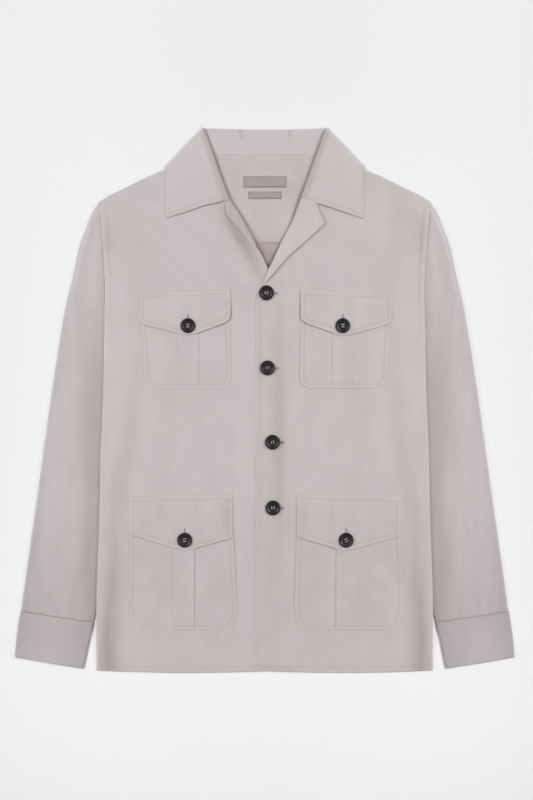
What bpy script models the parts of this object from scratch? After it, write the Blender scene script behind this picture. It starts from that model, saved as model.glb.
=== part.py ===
"""A jacket with four pleated pockets, buttoned and laid flat on its back.

All sizes are in millimetres. +X is the wearer's left, +Y runs from hem to collar and z = 0 is the
surface that it lies on. Each cloth piece is a thin wall built on rows of points across it.
"""

import bpy
import numpy as np

MM = 0.001

SEAM = 0.3  # between two pieces sewn edge to edge
LAY = 0.45  # between a piece and the one it lies on
CLOTH = 1.3
YOKE_WALL = 2.2
COLLAR_WALL = 1.6
CUFF_WALL = 2.0
LABEL_WALL = 0.8
SLEEVE_FLAT = 3.0  # height of the sleeve where it lies under the body
SLEEVE_FULL = 9.0  # height of the sleeve beside the body
SIDE_TURN = 2.4  # radius of the turned side edge
TURN_IN = 0.8  # flat run after a turned edge
LAPEL_TURN = 1.0
CUFF_TURN = 1.6
CUFF_RISE = 1.2
COLLAR_TURN = 1.15
HEM_SAG = 2.8
UNDERLAP = 24.0  # how far the right front runs under the left one
YOKE_SEAM_Y = 220.0
PLEAT_RISE = 1.2
SLACK = 2.1  # how far the fronts lie above the back in plain places
RIM_RISE = 2.5  # extra height beside the turned side edge
ROLL_RISE = 4.6  # extra height where a front rolls over into its lapel
ROLL_EXTRA = 3.0  # more of it on the right front, whose lapel stands up
BUTTON_RADIUS = 10.5
BUTTON_THICK = 3.4

# Outer edge of the body, hem to neck: y, distance from the middle.
BODY_EDGE = (
    (-379.0, 235.3), (-297.0, 235.0), (-225.0, 233.0), (-150.0, 230.3), (-75.0, 229.0), (-27.0, 227.0),
    (27.0, 225.0), (88.0, 224.0), (150.0, 223.3), (217.0, 226.0), (252.0, 228.6), (266.0, 230.6),
    (273.5, 233.6), (283.0, 222.6), (294.0, 201.5), (305.0, 179.0), (316.0, 156.0), (322.0, 140.0),
    (335.0, 113.0), (347.0, 89.0),
)
# The same edge with the side carried straight up past the shoulder: y, distance from the middle.
SIDE_LINE = ((-379.0, 235.3), (-225.0, 233.0), (-75.0, 229.0), (27.0, 225.0), (150.0, 223.3), (266.0, 229.8))
# Inner edge of each front, hem to neck: y, x.
LEFT_EDGE = (
    (-379.0, -16.4), (-196.0, -14.3), (-56.0, -13.6), (46.0, -12.5), (140.0, -12.0), (152.0, -9.0),
    (166.0, -1.5), (182.0, 5.3), (200.0, 14.5), (220.0, 23.0), (248.0, 38.5), (277.5, 50.5),
    (281.0, 60.3), (300.0, 67.6), (320.0, 75.4), (340.0, 83.2), (347.0, 86.0),
)
RIGHT_EDGE = (
    (-379.0, UNDERLAP), (120.0, UNDERLAP), (150.0, 20.0), (166.0, 13.0), (182.0, 5.3), (199.0, -3.0),
    (220.0, -14.0), (241.0, -26.5), (261.0, -37.0), (277.5, -49.0), (281.0, -60.3), (300.0, -67.6),
    (320.0, -75.4), (340.0, -83.2), (347.0, -86.0),
)
# Turned lapels, one row per section: roll x, roll y, edge x, edge y.
LAPEL_LEFT = (
    (0.2, 169.0, 5.0, 169.8), (5.3, 182.0, 17.0, 183.0), (14.5, 200.0, 33.0, 201.0),
    (23.0, 220.0, 54.0, 219.5), (33.0, 238.0, 72.0, 235.5), (38.5, 248.0, 84.4, 248.0),
    (44.0, 261.0, 78.5, 260.5), (50.5, 278.6, 72.0, 274.8),
)
LAPEL_RIGHT = (
    (-12.0, 216.0, -16.0, 213.6), (-18.0, 226.0, -25.0, 221.5), (-26.5, 241.0, -37.0, 234.0),
    (-33.0, 254.0, -47.0, 249.5), (-40.0, 266.0, -55.0, 259.5), (-49.0, 278.6, -55.5, 277.8),
)
# Sleeve sections, shoulder to cuff: outer x, outer y, inner x, inner y, bow, height share at the outer edge.
SLEEVE = (
    (231.0, 271.2, 152.0, 100.0, 14.0, 0.0), (239.5, 263.5, 151.0, 88.0, 14.0, 0.05),
    (250.5, 238.0, 150.0, 74.0, 13.0, 0.16), (258.5, 217.0, 150.0, 58.0, 11.0, 0.28),
    (268.0, 175.0, 153.0, 32.0, 8.0, 0.40), (278.0, 133.0, 158.0, 2.0, 5.0, 0.48),
    (289.0, 70.0, 168.0, -44.0, 3.0, 0.54), (299.0, 4.0, 180.0, -94.0, 0.0, 0.58),
    (309.5, -70.0, 193.0, -146.0, 0.0, 0.60), (319.0, -140.0, 206.0, -196.0, 0.0, 0.60),
    (328.5, -205.0, 219.0, -242.0, 0.0, 0.58), (336.0, -260.0, 231.5, -283.0, 0.0, 0.54),
    (339.5, -285.0, 238.5, -302.0, 0.0, 0.46), (341.0, -296.0, 241.5, -311.0, 0.0, 0.36),
)
# Where the sleeve's hidden edge runs under the body, cuff to shoulder: y, distance from the middle.
HIDDEN_EDGE = (
    (-311.0, 241.5), (-242.0, 219.0), (-146.0, 193.0), (-44.0, 168.0), (32.0, 153.0), (74.0, 150.0),
    (100.0, 152.0), (113.0, 164.0), (134.0, 180.0), (175.0, 200.0), (217.0, 213.0), (266.0, 222.0),
)
# Cuff sections: outer x, outer y, inner x, inner y.
CUFF = (
    (341.6, -296.4, 241.0, -311.4), (344.0, -310.0, 244.5, -325.0), (347.0, -332.0, 249.5, -347.5),
    (349.6, -360.0, 255.6, -375.5),
)
# Broad folds of the fronts: start x, start y, end x, end y, half width, height.
FOLDS = (
    (-30.0, 40.0, -46.0, -120.0, 26.0, -0.9), (60.0, 20.0, 52.0, -110.0, 28.0, -0.6),
    (-110.0, -20.0, -116.0, -110.0, 40.0, 0.8), (110.0, -20.0, 116.0, -110.0, 40.0, 0.8),
    (-196.0, 190.0, -200.0, 20.0, 20.0, -0.7), (196.0, 190.0, 200.0, 20.0, 20.0, -0.7),
    (-64.0, 240.0, -22.0, 176.0, 17.0, -1.2),
)
# Pockets: name, flap left x, right x, top y left, top y right, side y left, side y right, tip x, tip y,
# bag left x, right x, bottom y, corner, pleat left x, pleat right x, button x, button y, flap corner.
POCKETS = (
    ("chest_right", -176.0, -48.0, 150.0, 155.0, 107.0, 111.0, -106.0, 89.0,
     -168.0, -46.5, 16.0, 17.0, -122.6, -92.5, -107.4, 104.0, 9.0),
    ("chest_left", 50.0, 178.0, 154.0, 148.5, 110.0, 107.0, 111.0, 88.5,
     48.0, 171.0, 16.0, 17.0, 94.5, 124.6, 109.3, 104.0, 9.0),
    ("hip_right", -190.0, -45.0, -135.5, -131.6, -188.0, -193.0, -112.0, -212.0,
     -192.0, -36.5, -322.0, 14.0, -128.5, -98.3, -112.0, -196.0, 4.0),
    ("hip_left", 45.0, 191.0, -132.0, -135.5, -192.0, -190.0, 114.0, -212.0,
     40.0, 195.0, -322.0, 14.0, 99.8, 130.0, 114.0, -196.0, 4.0),
)
FRONT_BUTTONS = ((2.5, 150.0), (4.0, 45.0), (11.0, -59.0), (11.6, -151.0))
# Labels: name, left x, right x, bottom y, top y.
LABELS = (("label_main", -29.7, 30.7, 298.0, 313.5), ("label_size", -23.0, 23.6, 282.0, 292.0))
# Front end of the collar leaf, roll to point: distance from the middle, y.
LEAF_END = ((50.5, 279.3), (63.0, 277.8), (72.0, 275.4), (92.0, 268.5), (112.0, 261.0), (139.0, 254.0))
LEAF_CORNER = (141.0, 325.5)  # where the leaf's fold meets the shoulder
NECK_END = (58.6, 280.4)  # front end of the neck seam
ROLL_SWAY = 2.0  # how far the roll bows in to the neck
ROLL_CORNER = (88.0, 380.7)  # where the roll turns to the back
NECK_CORNER = (86.0, 351.5)  # where the neck seam turns to the back
NECK_Y = 343.0
ROLL_Y = 378.6
FALL_Y = 313.0  # lower edge of the collar under the back

CLOTH_COLOUR = (0.55, 0.50, 0.50, 1.0)
INSIDE_COLOUR = (0.50, 0.45, 0.45, 1.0)
BUTTON_COLOUR = (0.06, 0.05, 0.05, 1.0)
LABEL_COLOUR = (0.42, 0.38, 0.36, 1.0)


def ramp(start, end, value):
    share = np.clip((np.asarray(value, float) - start) / (end - start), 0.0, 1.0)
    return share * share * (3.0 - 2.0 * share)


def along(table, value):
    """The second column of a table at a value of its first."""
    rows = np.array(table)
    return np.interp(value, rows[:, 0], rows[:, 1])


def lift(x, y):
    """How far the back is held off the surface by the sleeves and by the collar under it."""
    hidden = along(HIDDEN_EDGE, y)
    arm = (SLEEVE_FLAT + LAY) * ramp(hidden - 50.0, hidden - 6.0, np.abs(x)) * ramp(-345.0, -305.0, y)
    fall = (COLLAR_WALL + LAY) * ramp(284.0, 309.0, y)
    return np.maximum(arm, fall)


def back_top(x, y):
    return lift(x, y) + CLOTH + (YOKE_WALL - CLOTH) * ramp(YOKE_SEAM_Y - 14.0, YOKE_SEAM_Y - 2.0, y)


def folds(x, y):
    total = np.zeros(np.broadcast(x, y).shape)
    for x0, y0, x1, y1, width, height in FOLDS:
        run = np.array([x1 - x0, y1 - y0])
        share = np.clip(((x - x0) * run[0] + (y - y0) * run[1]) / (run @ run), 0.0, 1.0)
        away = np.hypot(x - x0 - share * run[0], y - y0 - share * run[1])
        total = total + height * np.exp(-((away / width) ** 2))
    return total


def relief(x, y):
    """Height of the fronts' slack above the back."""
    inside = along(SIDE_LINE, y) - np.abs(x)
    low = 1.0 - ramp(225.0, 262.0, y)
    rim = RIM_RISE * np.exp(-((inside / 13.0) ** 2)) * low
    deep = 0.7 + 0.8 * (1.0 - ramp(-330.0, 60.0, y))
    trough = deep * np.exp(-(((inside - 34.0) / 17.0) ** 2)) * low
    left = x > 0.5 * (along(LEFT_EDGE, y) + along(RIGHT_EDGE, y))
    off = np.where(left, x - along(LEFT_EDGE, y), along(RIGHT_EDGE, y) - x)
    stand = ROLL_EXTRA * ramp(196.0, 226.0, y) * (1.0 - ramp(250.0, 277.0, y))
    span = ramp(166.0, 212.0, y) * (1.0 - ramp(279.0, 296.0, y))
    roll = np.where(left, ROLL_RISE, ROLL_RISE + stand) * np.exp(-((np.maximum(off, 0.0) / 17.0) ** 2)) * span
    shoulder = 1.0 - 0.6 * ramp(268.0, 300.0, y)
    return np.maximum((SLACK + rim - trough + folds(x, y)) * shoulder + roll, 0.15)


def front_mid(x, y, over):
    lap = (CLOTH + LAY) * (1.0 - ramp(UNDERLAP + 3.0, UNDERLAP + 24.0, x)) * (1.0 - ramp(196.0, 226.0, y))
    return back_top(x, y) + LAY + CLOTH / 2 + relief(x, y) + (lap if over else 0.0)


def edge_at(y):
    """Outer edge point of the body at y and its outward direction, both for +X."""
    x = along(BODY_EDGE, y)
    slope = (along(BODY_EDGE, y + 5.0) - along(BODY_EDGE, y - 5.0)) / 10.0
    return np.array([x, y]), np.array([1.0, -slope]) / np.hypot(1.0, slope)


def normals(mid, ring):
    if ring:
        mid = np.concatenate([mid[:, -1:], mid, mid[:, :1]], axis=1)
    normal = np.cross(np.gradient(mid, axis=0), np.gradient(mid, axis=1))
    normal = normal / np.linalg.norm(normal, axis=2, keepdims=True)
    return normal[:, 1:-1] if ring else normal


def add(name, points, faces, material):
    points = np.asarray(points, float)
    total = 0.0
    for face in faces:
        for second, third in zip(face[1:-1], face[2:]):
            total += points[face[0]] @ np.cross(points[second], points[third])
    if total < 0.0:
        faces = [face[::-1] for face in faces]
    mesh = bpy.data.meshes.new(name)
    mesh.from_pydata((points * MM).tolist(), [], faces)
    mesh.materials.append(material)
    bpy.context.scene.collection.objects.link(bpy.data.objects.new(name, mesh))


def skin(name, upper, lower, material, ring=False):
    """A closed wall between two grids of points. A ring joins each row's last point to its first."""
    rows, columns = upper.shape[:2]
    points = np.concatenate([upper.reshape(-1, 3), lower.reshape(-1, 3)])
    below = rows * columns
    faces = []
    for i in range(rows - 1):
        for j in range(columns if ring else columns - 1):
            a, b = i * columns + j, i * columns + (j + 1) % columns
            c, d = b + columns, a + columns
            faces += [[a, b, c, d], [below + d, below + c, below + b, below + a]]
    rim = []
    if ring:
        for j in range(columns):
            rim.append((j, (j + 1) % columns))
            rim.append(((rows - 1) * columns + (j + 1) % columns, (rows - 1) * columns + j))
    else:
        loop = list(range(columns - 1))
        loop += [i * columns + columns - 1 for i in range(rows - 1)]
        loop += [(rows - 1) * columns + j for j in range(columns - 1, 0, -1)]
        loop += [i * columns for i in range(rows - 1, 0, -1)]
        rim = list(zip(loop, loop[1:] + loop[:1]))
    faces += [[b, a, below + a, below + b] for a, b in rim]
    add(name, points, faces, material)


def wall(name, mid, thick, material, ring=False):
    offset = normals(mid, ring) * thick / 2
    skin(name, mid + offset, mid - offset, material, ring)


def panel_height(grid, x, y):
    """Height of a front's middle at x, y, read off its own rows of points."""
    order = np.sign(grid[0, -1, 0] - grid[0, 0, 0])
    rows = grid[:, 0, 1]
    high = np.clip(np.searchsorted(rows, y), 1, len(rows) - 1)
    share = np.clip((y - rows[high - 1]) / (rows[high] - rows[high - 1]), 0.0, 1.0)
    below, above = grid[high - 1], grid[high]
    low_z = np.interp(x * order, below[:, 0] * order, below[:, 2])
    high_z = np.interp(x * order, above[:, 0] * order, above[:, 2])
    return low_z * (1.0 - share) + high_z * share


def lie_height(grid, x, y):
    """Height of a piece's underside that lies on a front at x, y, clear of the front's bends there."""
    middle = panel_height(grid, x, y)
    bend = abs(middle - (panel_height(grid, x - 7.0, y) + panel_height(grid, x + 7.0, y)) / 2)
    bend += abs(middle - (panel_height(grid, x, y - 7.0) + panel_height(grid, x, y + 7.0)) / 2)
    return middle + bend + CLOTH / 2 + LAY + 0.15


def build_back(cloth, inside):
    def rows_of(ys, thick):
        rows = []
        for y in ys:
            edge, out = edge_at(y)
            tip = edge - out * (SIDE_TURN + TURN_IN + 2 * SEAM)
            hidden = min(along(HIDDEN_EDGE, y), tip[0] - 6.0)
            half = [0.0, 0.4 * (hidden - 50.0)] + [hidden - short for short in (50.0, 36.0, 21.0, 6.0)]
            half = np.array(half + [0.5 * (hidden - 6.0 + tip[0]), tip[0]])
            x = np.concatenate([-half[:0:-1], half])
            row_y = y + (tip[1] - y) * np.abs(x / tip[0]) ** 6
            rows.append(np.stack([x, row_y, lift(x, np.full(len(x), y)) + thick / 2], axis=1))
        return np.array(rows)

    low = [-378.0, -345.0, -325.0, -305.0, -260.0, -184.0, -108.0, -32.0, 44.0, 82.0, 104.0, 124.0, 152.0,
           182.0, YOKE_SEAM_Y - SEAM]
    high = [YOKE_SEAM_Y, 234.0, 252.0, 266.0, 273.0, 281.0, 290.0, 302.0, 314.0, 326.0, 337.0]
    back = rows_of(low, CLOTH)
    skin("back", back + [0.0, 0.0, CLOTH / 2], back - [0.0, 0.0, CLOTH / 2], cloth)
    yoke = rows_of(high, YOKE_WALL)
    neck = np.array(yoke[-1])
    wide = neck[:, 0] / neck[-1, 0]
    neck[:, 0] = 80.0 * wide
    neck[:, 1] = NECK_Y - SEAM + 5.0 * np.abs(wide) ** 4
    yoke = np.concatenate([yoke, [neck]])
    skin("back_yoke", yoke + [0.0, 0.0, YOKE_WALL / 2], yoke - [0.0, 0.0, YOKE_WALL / 2], inside)


def build_front(name, side, cloth):
    table = LEFT_EDGE if side > 0 else RIGHT_EDGE
    ys = [-379.0, -371.0, -345.0, -318.0, -297.0, -260.0, -222.0, -184.0, -146.0, -108.0, -70.0, -32.0,
          6.0, 44.0, 82.0, 112.0, 136.0, 152.0, 166.0, 182.0, 198.0, 210.0, 216.0, 234.0, 252.0, 266.0,
          273.0, 277.5, 281.0, 290.0, 302.0, 314.0, 326.0, 337.0, 345.0]
    shares = np.array([0.0, 0.03, 0.09, 0.18, 0.3, 0.43, 0.56, 0.68, 0.77, 0.84, 0.9, 0.95, 1.0])
    turn = np.radians([50.0, 90.0, 130.0, 180.0])
    flat, rows = [], []
    for y in ys:
        edge, out = edge_at(y)
        radius = SIDE_TURN - 0.7 * float(ramp(266.0, 290.0, y))
        start = np.array([along(table, y), y])
        if (166.0 if side > 0 else 214.0) <= y < 279.0:
            start[0] += side * (LAPEL_TURN + TURN_IN + SEAM) * (1.3 if side > 0 else 1.5)
        tip = (edge - out * radius) * [side, 1.0]
        x = start[0] + (tip[0] - start[0]) * shares
        sag = HEM_SAG * np.sin(np.pi * shares) * (1.0 - ramp(-379.0, -330.0, y))
        row_y = y + (tip[1] - y) * shares ** 4 - sag
        z = front_mid(x, np.full(len(x), y), side > 0)
        row = np.stack([x, row_y, z], axis=1)
        bottom = float(lift(tip[0], y)) + CLOTH / 2
        half = (z[-1] - bottom) / 2
        away = np.array([side * out[0], out[1]])
        swing = np.sin(turn)[:, None]
        curl = np.column_stack([tip + away * radius * swing, bottom + half + half * np.cos(turn)])
        run_in = curl[-1] - [*(away * TURN_IN), 0.0]
        flat.append(row)
        rows.append(np.concatenate([row, curl, [run_in]]))
    wall(name, np.array(rows), CLOTH, cloth)
    return np.array(flat)


def build_lapel(name, table, grid, inside):
    side = 1.0 if table is LAPEL_LEFT else -1.0
    rows = []
    for roll_x, roll_y, edge_x, edge_y in table:
        roll = np.array([roll_x, roll_y])
        run = np.array([edge_x, edge_y]) - roll
        length = np.hypot(run[0], run[1])
        run = run / length
        start = roll + run * LAPEL_TURN
        base = panel_height(grid, start[0] + side * 1.2, start[1])
        row = [[start[0] + run[0] * TURN_IN, start[1] + run[1] * TURN_IN, base]]
        for angle in np.radians([180.0, 130.0, 90.0, 45.0]):
            spot = start - run * LAPEL_TURN * np.sin(angle)
            row.append([spot[0], spot[1], base + LAPEL_TURN + LAPEL_TURN * np.cos(angle)])
        for share in (0.0, 0.25, 0.5, 0.75, 1.0):
            spot = start + run * (length - LAPEL_TURN) * share
            rest = lie_height(grid, spot[0], spot[1]) + CLOTH / 2
            top = max(rest, base + 2 * LAPEL_TURN) if share == 0.0 else rest + 0.15
            row.append([spot[0], spot[1], top])
        rows.append(row)
    wall(name, np.array(rows), CLOTH, inside)


def sleeve_height(x, y):
    """Height of the sleeve's upper wall above its lower one."""
    beside = np.abs(x) - along(SIDE_LINE, y) - 4.0
    free = np.maximum(ramp(0.0, 34.0, beside), ramp(-318.0, -345.0, y))
    return SLEEVE_FLAT - CLOTH + (SLEEVE_FULL - SLEEVE_FLAT) * free


def build_sleeve(name, side, cloth):
    across = np.array([0.0, 0.12, 0.25, 0.38, 0.5, 0.6, 0.7, 0.8, 0.9, 1.0])
    turn = np.radians([45.0, 90.0, 135.0])
    rings = []
    for outer_x, outer_y, inner_x, inner_y, bow, share in SLEEVE:
        outer, inner = np.array([outer_x, outer_y]), np.array([inner_x, inner_y])
        run = outer - inner
        run = run / np.hypot(run[0], run[1])
        bend = np.array([run[1], -run[0]]) * bow
        flat = (SLEEVE_FLAT - CLOTH) / 2
        full = flat + share * (SLEEVE_FULL - SLEEVE_FLAT) / 2
        start, end = inner + run * flat, outer - run * full
        spots = start + (end - start) * across[:, None] + bend * (4.0 * across * (1.0 - across))[:, None]
        cap = 2 * full + (SLEEVE_FULL - SLEEVE_FLAT) * ramp(0.0, 30.0, np.hypot(*(spots - end).T))
        height = np.minimum(sleeve_height(spots[:, 0], spots[:, 1]), cap)
        height[0], height[-1] = 2 * flat, 2 * full
        base = CLOTH / 2
        upper = np.column_stack([spots, base + height])
        swing = np.sin(turn)[:, None]
        over = np.column_stack([end + run * full * swing, base + full + full * np.cos(turn)])
        lower = np.column_stack([spots[::-3], np.full(4, base)])
        back = np.column_stack([start - run * flat * swing, base + flat - flat * np.cos(turn)])
        rings.append(np.concatenate([upper, over, lower, back]))
    rings = np.array(rings) * [side, 1.0, 1.0]
    wall(name, rings, CLOTH, cloth, ring=True)


def build_cuff(name, side, cloth):
    across = np.array([0.0, 0.15, 0.35, 0.55, 0.75, 0.9, 1.0])
    turn = np.radians([45.0, 90.0, 135.0])
    rings = []
    for outer_x, outer_y, inner_x, inner_y in CUFF:
        outer, inner = np.array([outer_x, outer_y]), np.array([inner_x, inner_y])
        run = outer - inner
        run = run / np.hypot(run[0], run[1])
        half = CUFF_TURN
        start, end = inner + run * half, outer - run * half
        spots = start + (end - start) * across[:, None]
        base = CUFF_WALL / 2
        upper = np.column_stack([spots, base + 2 * half + CUFF_RISE * np.sin(np.pi * across)])
        swing = np.sin(turn)[:, None]
        over = np.column_stack([end + run * half * swing, base + half + half * np.cos(turn)])
        lower = np.column_stack([spots[::-3], np.full(3, base)])
        back = np.column_stack([start - run * half * swing, base + half - half * np.cos(turn)])
        rings.append(np.concatenate([upper, over, lower, back]))
    rings = np.array(rings) * [side, 1.0, 1.0]
    wall(name, rings, CUFF_WALL, cloth, ring=True)


def collar_half(grid):
    """Columns of the collar from its front end to the middle of the back, for +X."""
    fall_rows = np.array([0.06, 0.2, 0.38, 0.58, 0.8, 1.0])
    stand_rows = np.array([0.12, 0.5, 1.0])
    roll_end, point = np.array(LEAF_END[0]), np.array(LEAF_END[-1])
    fold, corner, neck = np.array(LEAF_CORNER), np.array(ROLL_CORNER), np.array(NECK_CORNER)
    inward = np.array([corner[1] - fold[1], fold[0] - corner[0]])
    inward = -inward / np.hypot(inward[0], inward[1])
    to_neck = np.array([-0.945, 0.32])
    neck_end = np.array(NECK_END)
    low = COLLAR_WALL / 2
    roll_low = low + COLLAR_TURN
    yoke_z = COLLAR_WALL + LAY + YOKE_WALL / 2
    roll_high = panel_height(grid, 54.0, 277.5) + 2 * LAPEL_TURN - COLLAR_TURN

    def leaf_end(share):
        x = roll_end[0] + (point[0] - roll_end[0]) * share
        return np.array([x, along(LEAF_END, x)])

    def leaf_rest(spot):
        return panel_height(grid, spot[0], spot[1]) + CLOTH / 2 + LAY + COLLAR_WALL / 2 + 0.25

    def column(place, angle):
        """place runs 0 to 1 up the front, then 1 to 2 across the back. angle turns the fold over."""
        swing, height = np.cos(angle), np.sin(angle)
        front = min(place, 1.0)
        back = max(place - 1.0, 0.0)
        roll_top = roll_high + 2.6 * np.sin(np.pi * front) - 1.4 * front
        corner_top = roll_high - 1.4
        behind = ramp(0.9, 1.05, place)
        out = -to_neck * (1.0 - behind) + np.array([0.0, -1.0]) * behind
        out = out / np.hypot(out[0], out[1])
        sway = to_neck * ROLL_SWAY * 4.0 * front * (1.0 - front)

        def spot(front_spot, fold_spot, back_spot, top, bottom, radius):
            turned = fold_spot + inward * radius
            if angle > 1.5:
                plan, z = front_spot + (turned - front_spot) * front, top
            elif angle < -1.5:
                plan, z = turned + (back_spot - turned) * back, bottom
            else:
                plan = fold_spot + inward * radius * (1.0 - swing)
                z = (top + bottom) / 2 + height * (top - bottom) / 2
            return np.array([plan[0], plan[1], z])

        points = []
        for share in stand_rows[::-1]:
            end = roll_end + (neck_end - roll_end) * share
            turn = corner + (neck - corner) * share
            top = roll_top - COLLAR_TURN
            seam_top = panel_height(grid, neck_end[0] + 3.0 + 24.0 * front, 281.0 + 64.0 * front)
            top = top + (seam_top - top) * share
            bottom = roll_low + COLLAR_TURN + (yoke_z - roll_low - COLLAR_TURN) * share
            here = spot(end, turn, np.array([0.0, ROLL_Y + (NECK_Y - ROLL_Y) * share]), top, bottom, 2.0)
            if angle < -1.5:
                wide = here[0] / neck[0]
                here[1] = (ROLL_Y + 1.9 * wide ** 2) * (1.0 - share) + (NECK_Y + 8.5 * abs(wide) ** 4) * share
            points.append(here)
        centre = spot(roll_end, corner, np.array([0.0, ROLL_Y]), roll_top if angle > 1.5 else corner_top,
                      roll_low, 3.2)
        if angle > 1.5:
            centre[:2] += sway
        if angle < -1.5:
            centre[1] = ROLL_Y + 1.9 * (centre[0] / corner[0]) ** 2
        side_way = np.array([*(-inward * swing), height])
        bulge = np.array([-out[0], -out[1], 0.0])
        for bend in np.radians([-60.0, 0.0, 60.0]):
            turned = side_way * np.sin(bend) - bulge * (1.0 - np.cos(bend))
            points.append(centre + turned * COLLAR_TURN)
        for share in fall_rows:
            end = leaf_end(share)
            turn = corner + (fold - corner) * share
            lie = end + (turn - end) * front
            rest = leaf_rest(lie + sway * (1.0 - share))
            start = roll_top if angle > 1.5 else corner_top
            top = rest + max(start + COLLAR_TURN - rest, 0.0) * (1.0 - share) ** 1.3
            here = spot(end, turn, np.array([0.0, ROLL_Y + (FALL_Y - ROLL_Y) * share]), top, low, 3.6)
            if angle > 1.5:
                here[:2] += sway * (1.0 - share)
            points.append(here)
        return points

    columns = [column(place, np.pi / 2) for place in (0.0, 0.1, 0.24, 0.4, 0.56, 0.72, 0.87, 1.0)]
    columns += [column(1.0, np.radians(angle)) for angle in (45.0, 0.0, -45.0)]
    columns += [column(1.0 + place, -np.pi / 2) for place in (0.0, 0.25, 0.5, 0.75, 1.0)]
    return np.array(columns)


def build_collar(grid, cloth):
    half = collar_half(grid)
    other = half[-2::-1] * [-1.0, 1.0, 1.0]
    wall("collar", np.concatenate([half, other]), COLLAR_WALL, cloth)


def pocket_columns(left, right, pleat_left, pleat_right, flap):
    pleat = [-14.0, -3.0] if flap else [-8.0, -0.6, 0.6]
    inner = [pleat_left + d for d in pleat] + [pleat_right - d for d in pleat[::-1]]
    if not flap:
        inner.insert(3, (pleat_left + pleat_right) / 2)
    lower = left + (inner[0] - left) * np.array([0.0, 0.35, 0.7])
    upper = right + (inner[-1] - right) * np.array([0.7, 0.35, 0.0])
    return np.concatenate([lower, inner, upper])


def build_bag(row, grid, cloth):
    name, flap_left, flap_right, top_left, top_right = row[:5]
    bag_left, bag_right, bottom, corner, pleat_left, pleat_right = row[9:15]
    top = min(top_left, top_right) - 9.0
    rows = []
    for drop in (0.0, 0.15, 0.45, 1.0):
        rows.append(bottom + corner * drop)
    rows += list(np.linspace(bottom + corner, top, 8)[1:])
    lower, upper = [], []
    for y in rows:
        rise = (y - bottom) / (top - bottom)
        left = bag_left + (flap_left + 1.0 - bag_left) * rise
        right = bag_right + (flap_right - 1.0 - bag_right) * rise
        columns = pocket_columns(left, right, pleat_left, pleat_right, False)
        cut = max(0.0, bottom + corner - y) / corner
        inset = corner * (1.0 - np.sqrt(max(0.0, 1.0 - cut * cut)))
        inset = min(inset, corner * 0.92)
        x = np.clip(columns, left + inset, right - inset)
        first, last = columns[1], columns[-2]
        x[0], x[-1] = left + inset, right - inset
        x[1], x[-2] = max(first, x[0] + 4.0), min(last, x[-1] - 4.0)
        lie = np.array([lie_height(grid, value, y) for value in x])
        strip = np.where((columns > pleat_left) & (columns < pleat_right), PLEAT_RISE, 0.0)
        flat_y = np.full(len(x), y)
        lower.append(np.column_stack([x, flat_y, lie]))
        upper.append(np.column_stack([x, flat_y, lie + CLOTH + strip]))
    skin("pocket_" + name, np.array(upper), np.array(lower), cloth)


def flap_heights(row, grid, x, y, top):
    """Underside of a flap at x, y, top being the height of its upper edge there."""
    pleat_left, pleat_right = row[13], row[14]
    away = np.maximum(pleat_left - x, x - pleat_right)
    strip = PLEAT_RISE * (1.0 - ramp(3.0, 14.0, away))
    cover = ramp(1.0, 8.0, top - y)
    return lie_height(grid, x, y) + cover * (CLOTH + LAY + strip)


def build_flap(row, grid, cloth):
    name, left, right, top_left, top_right, side_left, side_right, tip_x, tip_y = row[:9]
    columns = pocket_columns(left, right, row[13], row[14], True)
    corner = row[17]
    columns = np.sort(np.append(columns, [tip_x, left + corner * 0.35, right - corner * 0.35]))
    tops = np.interp(columns, [left, right], [top_left, top_right])
    bottoms = np.interp(columns, [left, tip_x, right], [side_left, tip_y, side_right])
    near = np.clip(1.0 - np.minimum(columns - left, right - columns) / corner, 0.0, 1.0)
    bottoms = bottoms + corner * (1.0 - np.sqrt(1.0 - near * near))
    lower, upper = [], []
    for share in (0.0, 4.0, 9.0, 0.45, 0.72, 1.0):
        ys = tops - share if share > 1.0 else tops + (bottoms - tops) * share
        z = np.array([float(flap_heights(row, grid, x, y, top)) for x, y, top in zip(columns, ys, tops)])
        lower.append(np.column_stack([columns, ys, z]))
        upper.append(np.column_stack([columns, ys, z + CLOTH]))
    skin("flap_" + name, np.array(upper), np.array(lower), cloth)


def build_button(name, x, y, seat, horn):
    """A round button with a raised rim and a dished face."""
    profile = ((0.0, 0.0), (0.7, 0.0), (1.0, 0.45), (0.9, 1.0), (0.78, 1.0), (0.6, 0.64), (0.0, 0.58))
    count = 14
    points = [[x, y, seat]]
    for radius, height in profile[1:-1]:
        for angle in np.arange(count) * 2 * np.pi / count:
            reach = BUTTON_RADIUS * radius
            spot = [x + reach * np.cos(angle), y + reach * np.sin(angle)]
            points.append([*spot, seat + BUTTON_THICK * height])
    points.append([x, y, seat + BUTTON_THICK * profile[-1][1]])
    faces = []
    levels = len(profile) - 2
    for j in range(count):
        after = (j + 1) % count
        faces.append([0, 1 + after, 1 + j])
        for level in range(levels - 1):
            first = 1 + level * count
            faces.append([first + j, first + after, first + count + after, first + count + j])
        last = 1 + (levels - 1) * count
        faces.append([last + j, last + after, len(points) - 1])
    add(name, points, faces, horn)


def seat_on(height, x, y):
    ring = [(0.0, 0.0)] + [(np.cos(a), np.sin(a)) for a in np.arange(8) * np.pi / 4]
    spots = [height(x + BUTTON_RADIUS * c, y + BUTTON_RADIUS * s) for c, s in ring]
    return float(max(spots)) + SEAM


def build_labels(fabric):
    for name, left, right, bottom, top in LABELS:
        xs = np.linspace(left, right, 3)
        rows = []
        for y in (bottom, top):
            z = back_top(xs, np.full(3, y)) + SEAM
            rows.append(np.column_stack([xs, np.full(3, y), z]))
        rows = np.array(rows)
        rows[:, :, 2] = rows[:, :, 2] + 0.1
        skin(name, rows + [0.0, 0.0, LABEL_WALL], rows, fabric)


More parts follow.
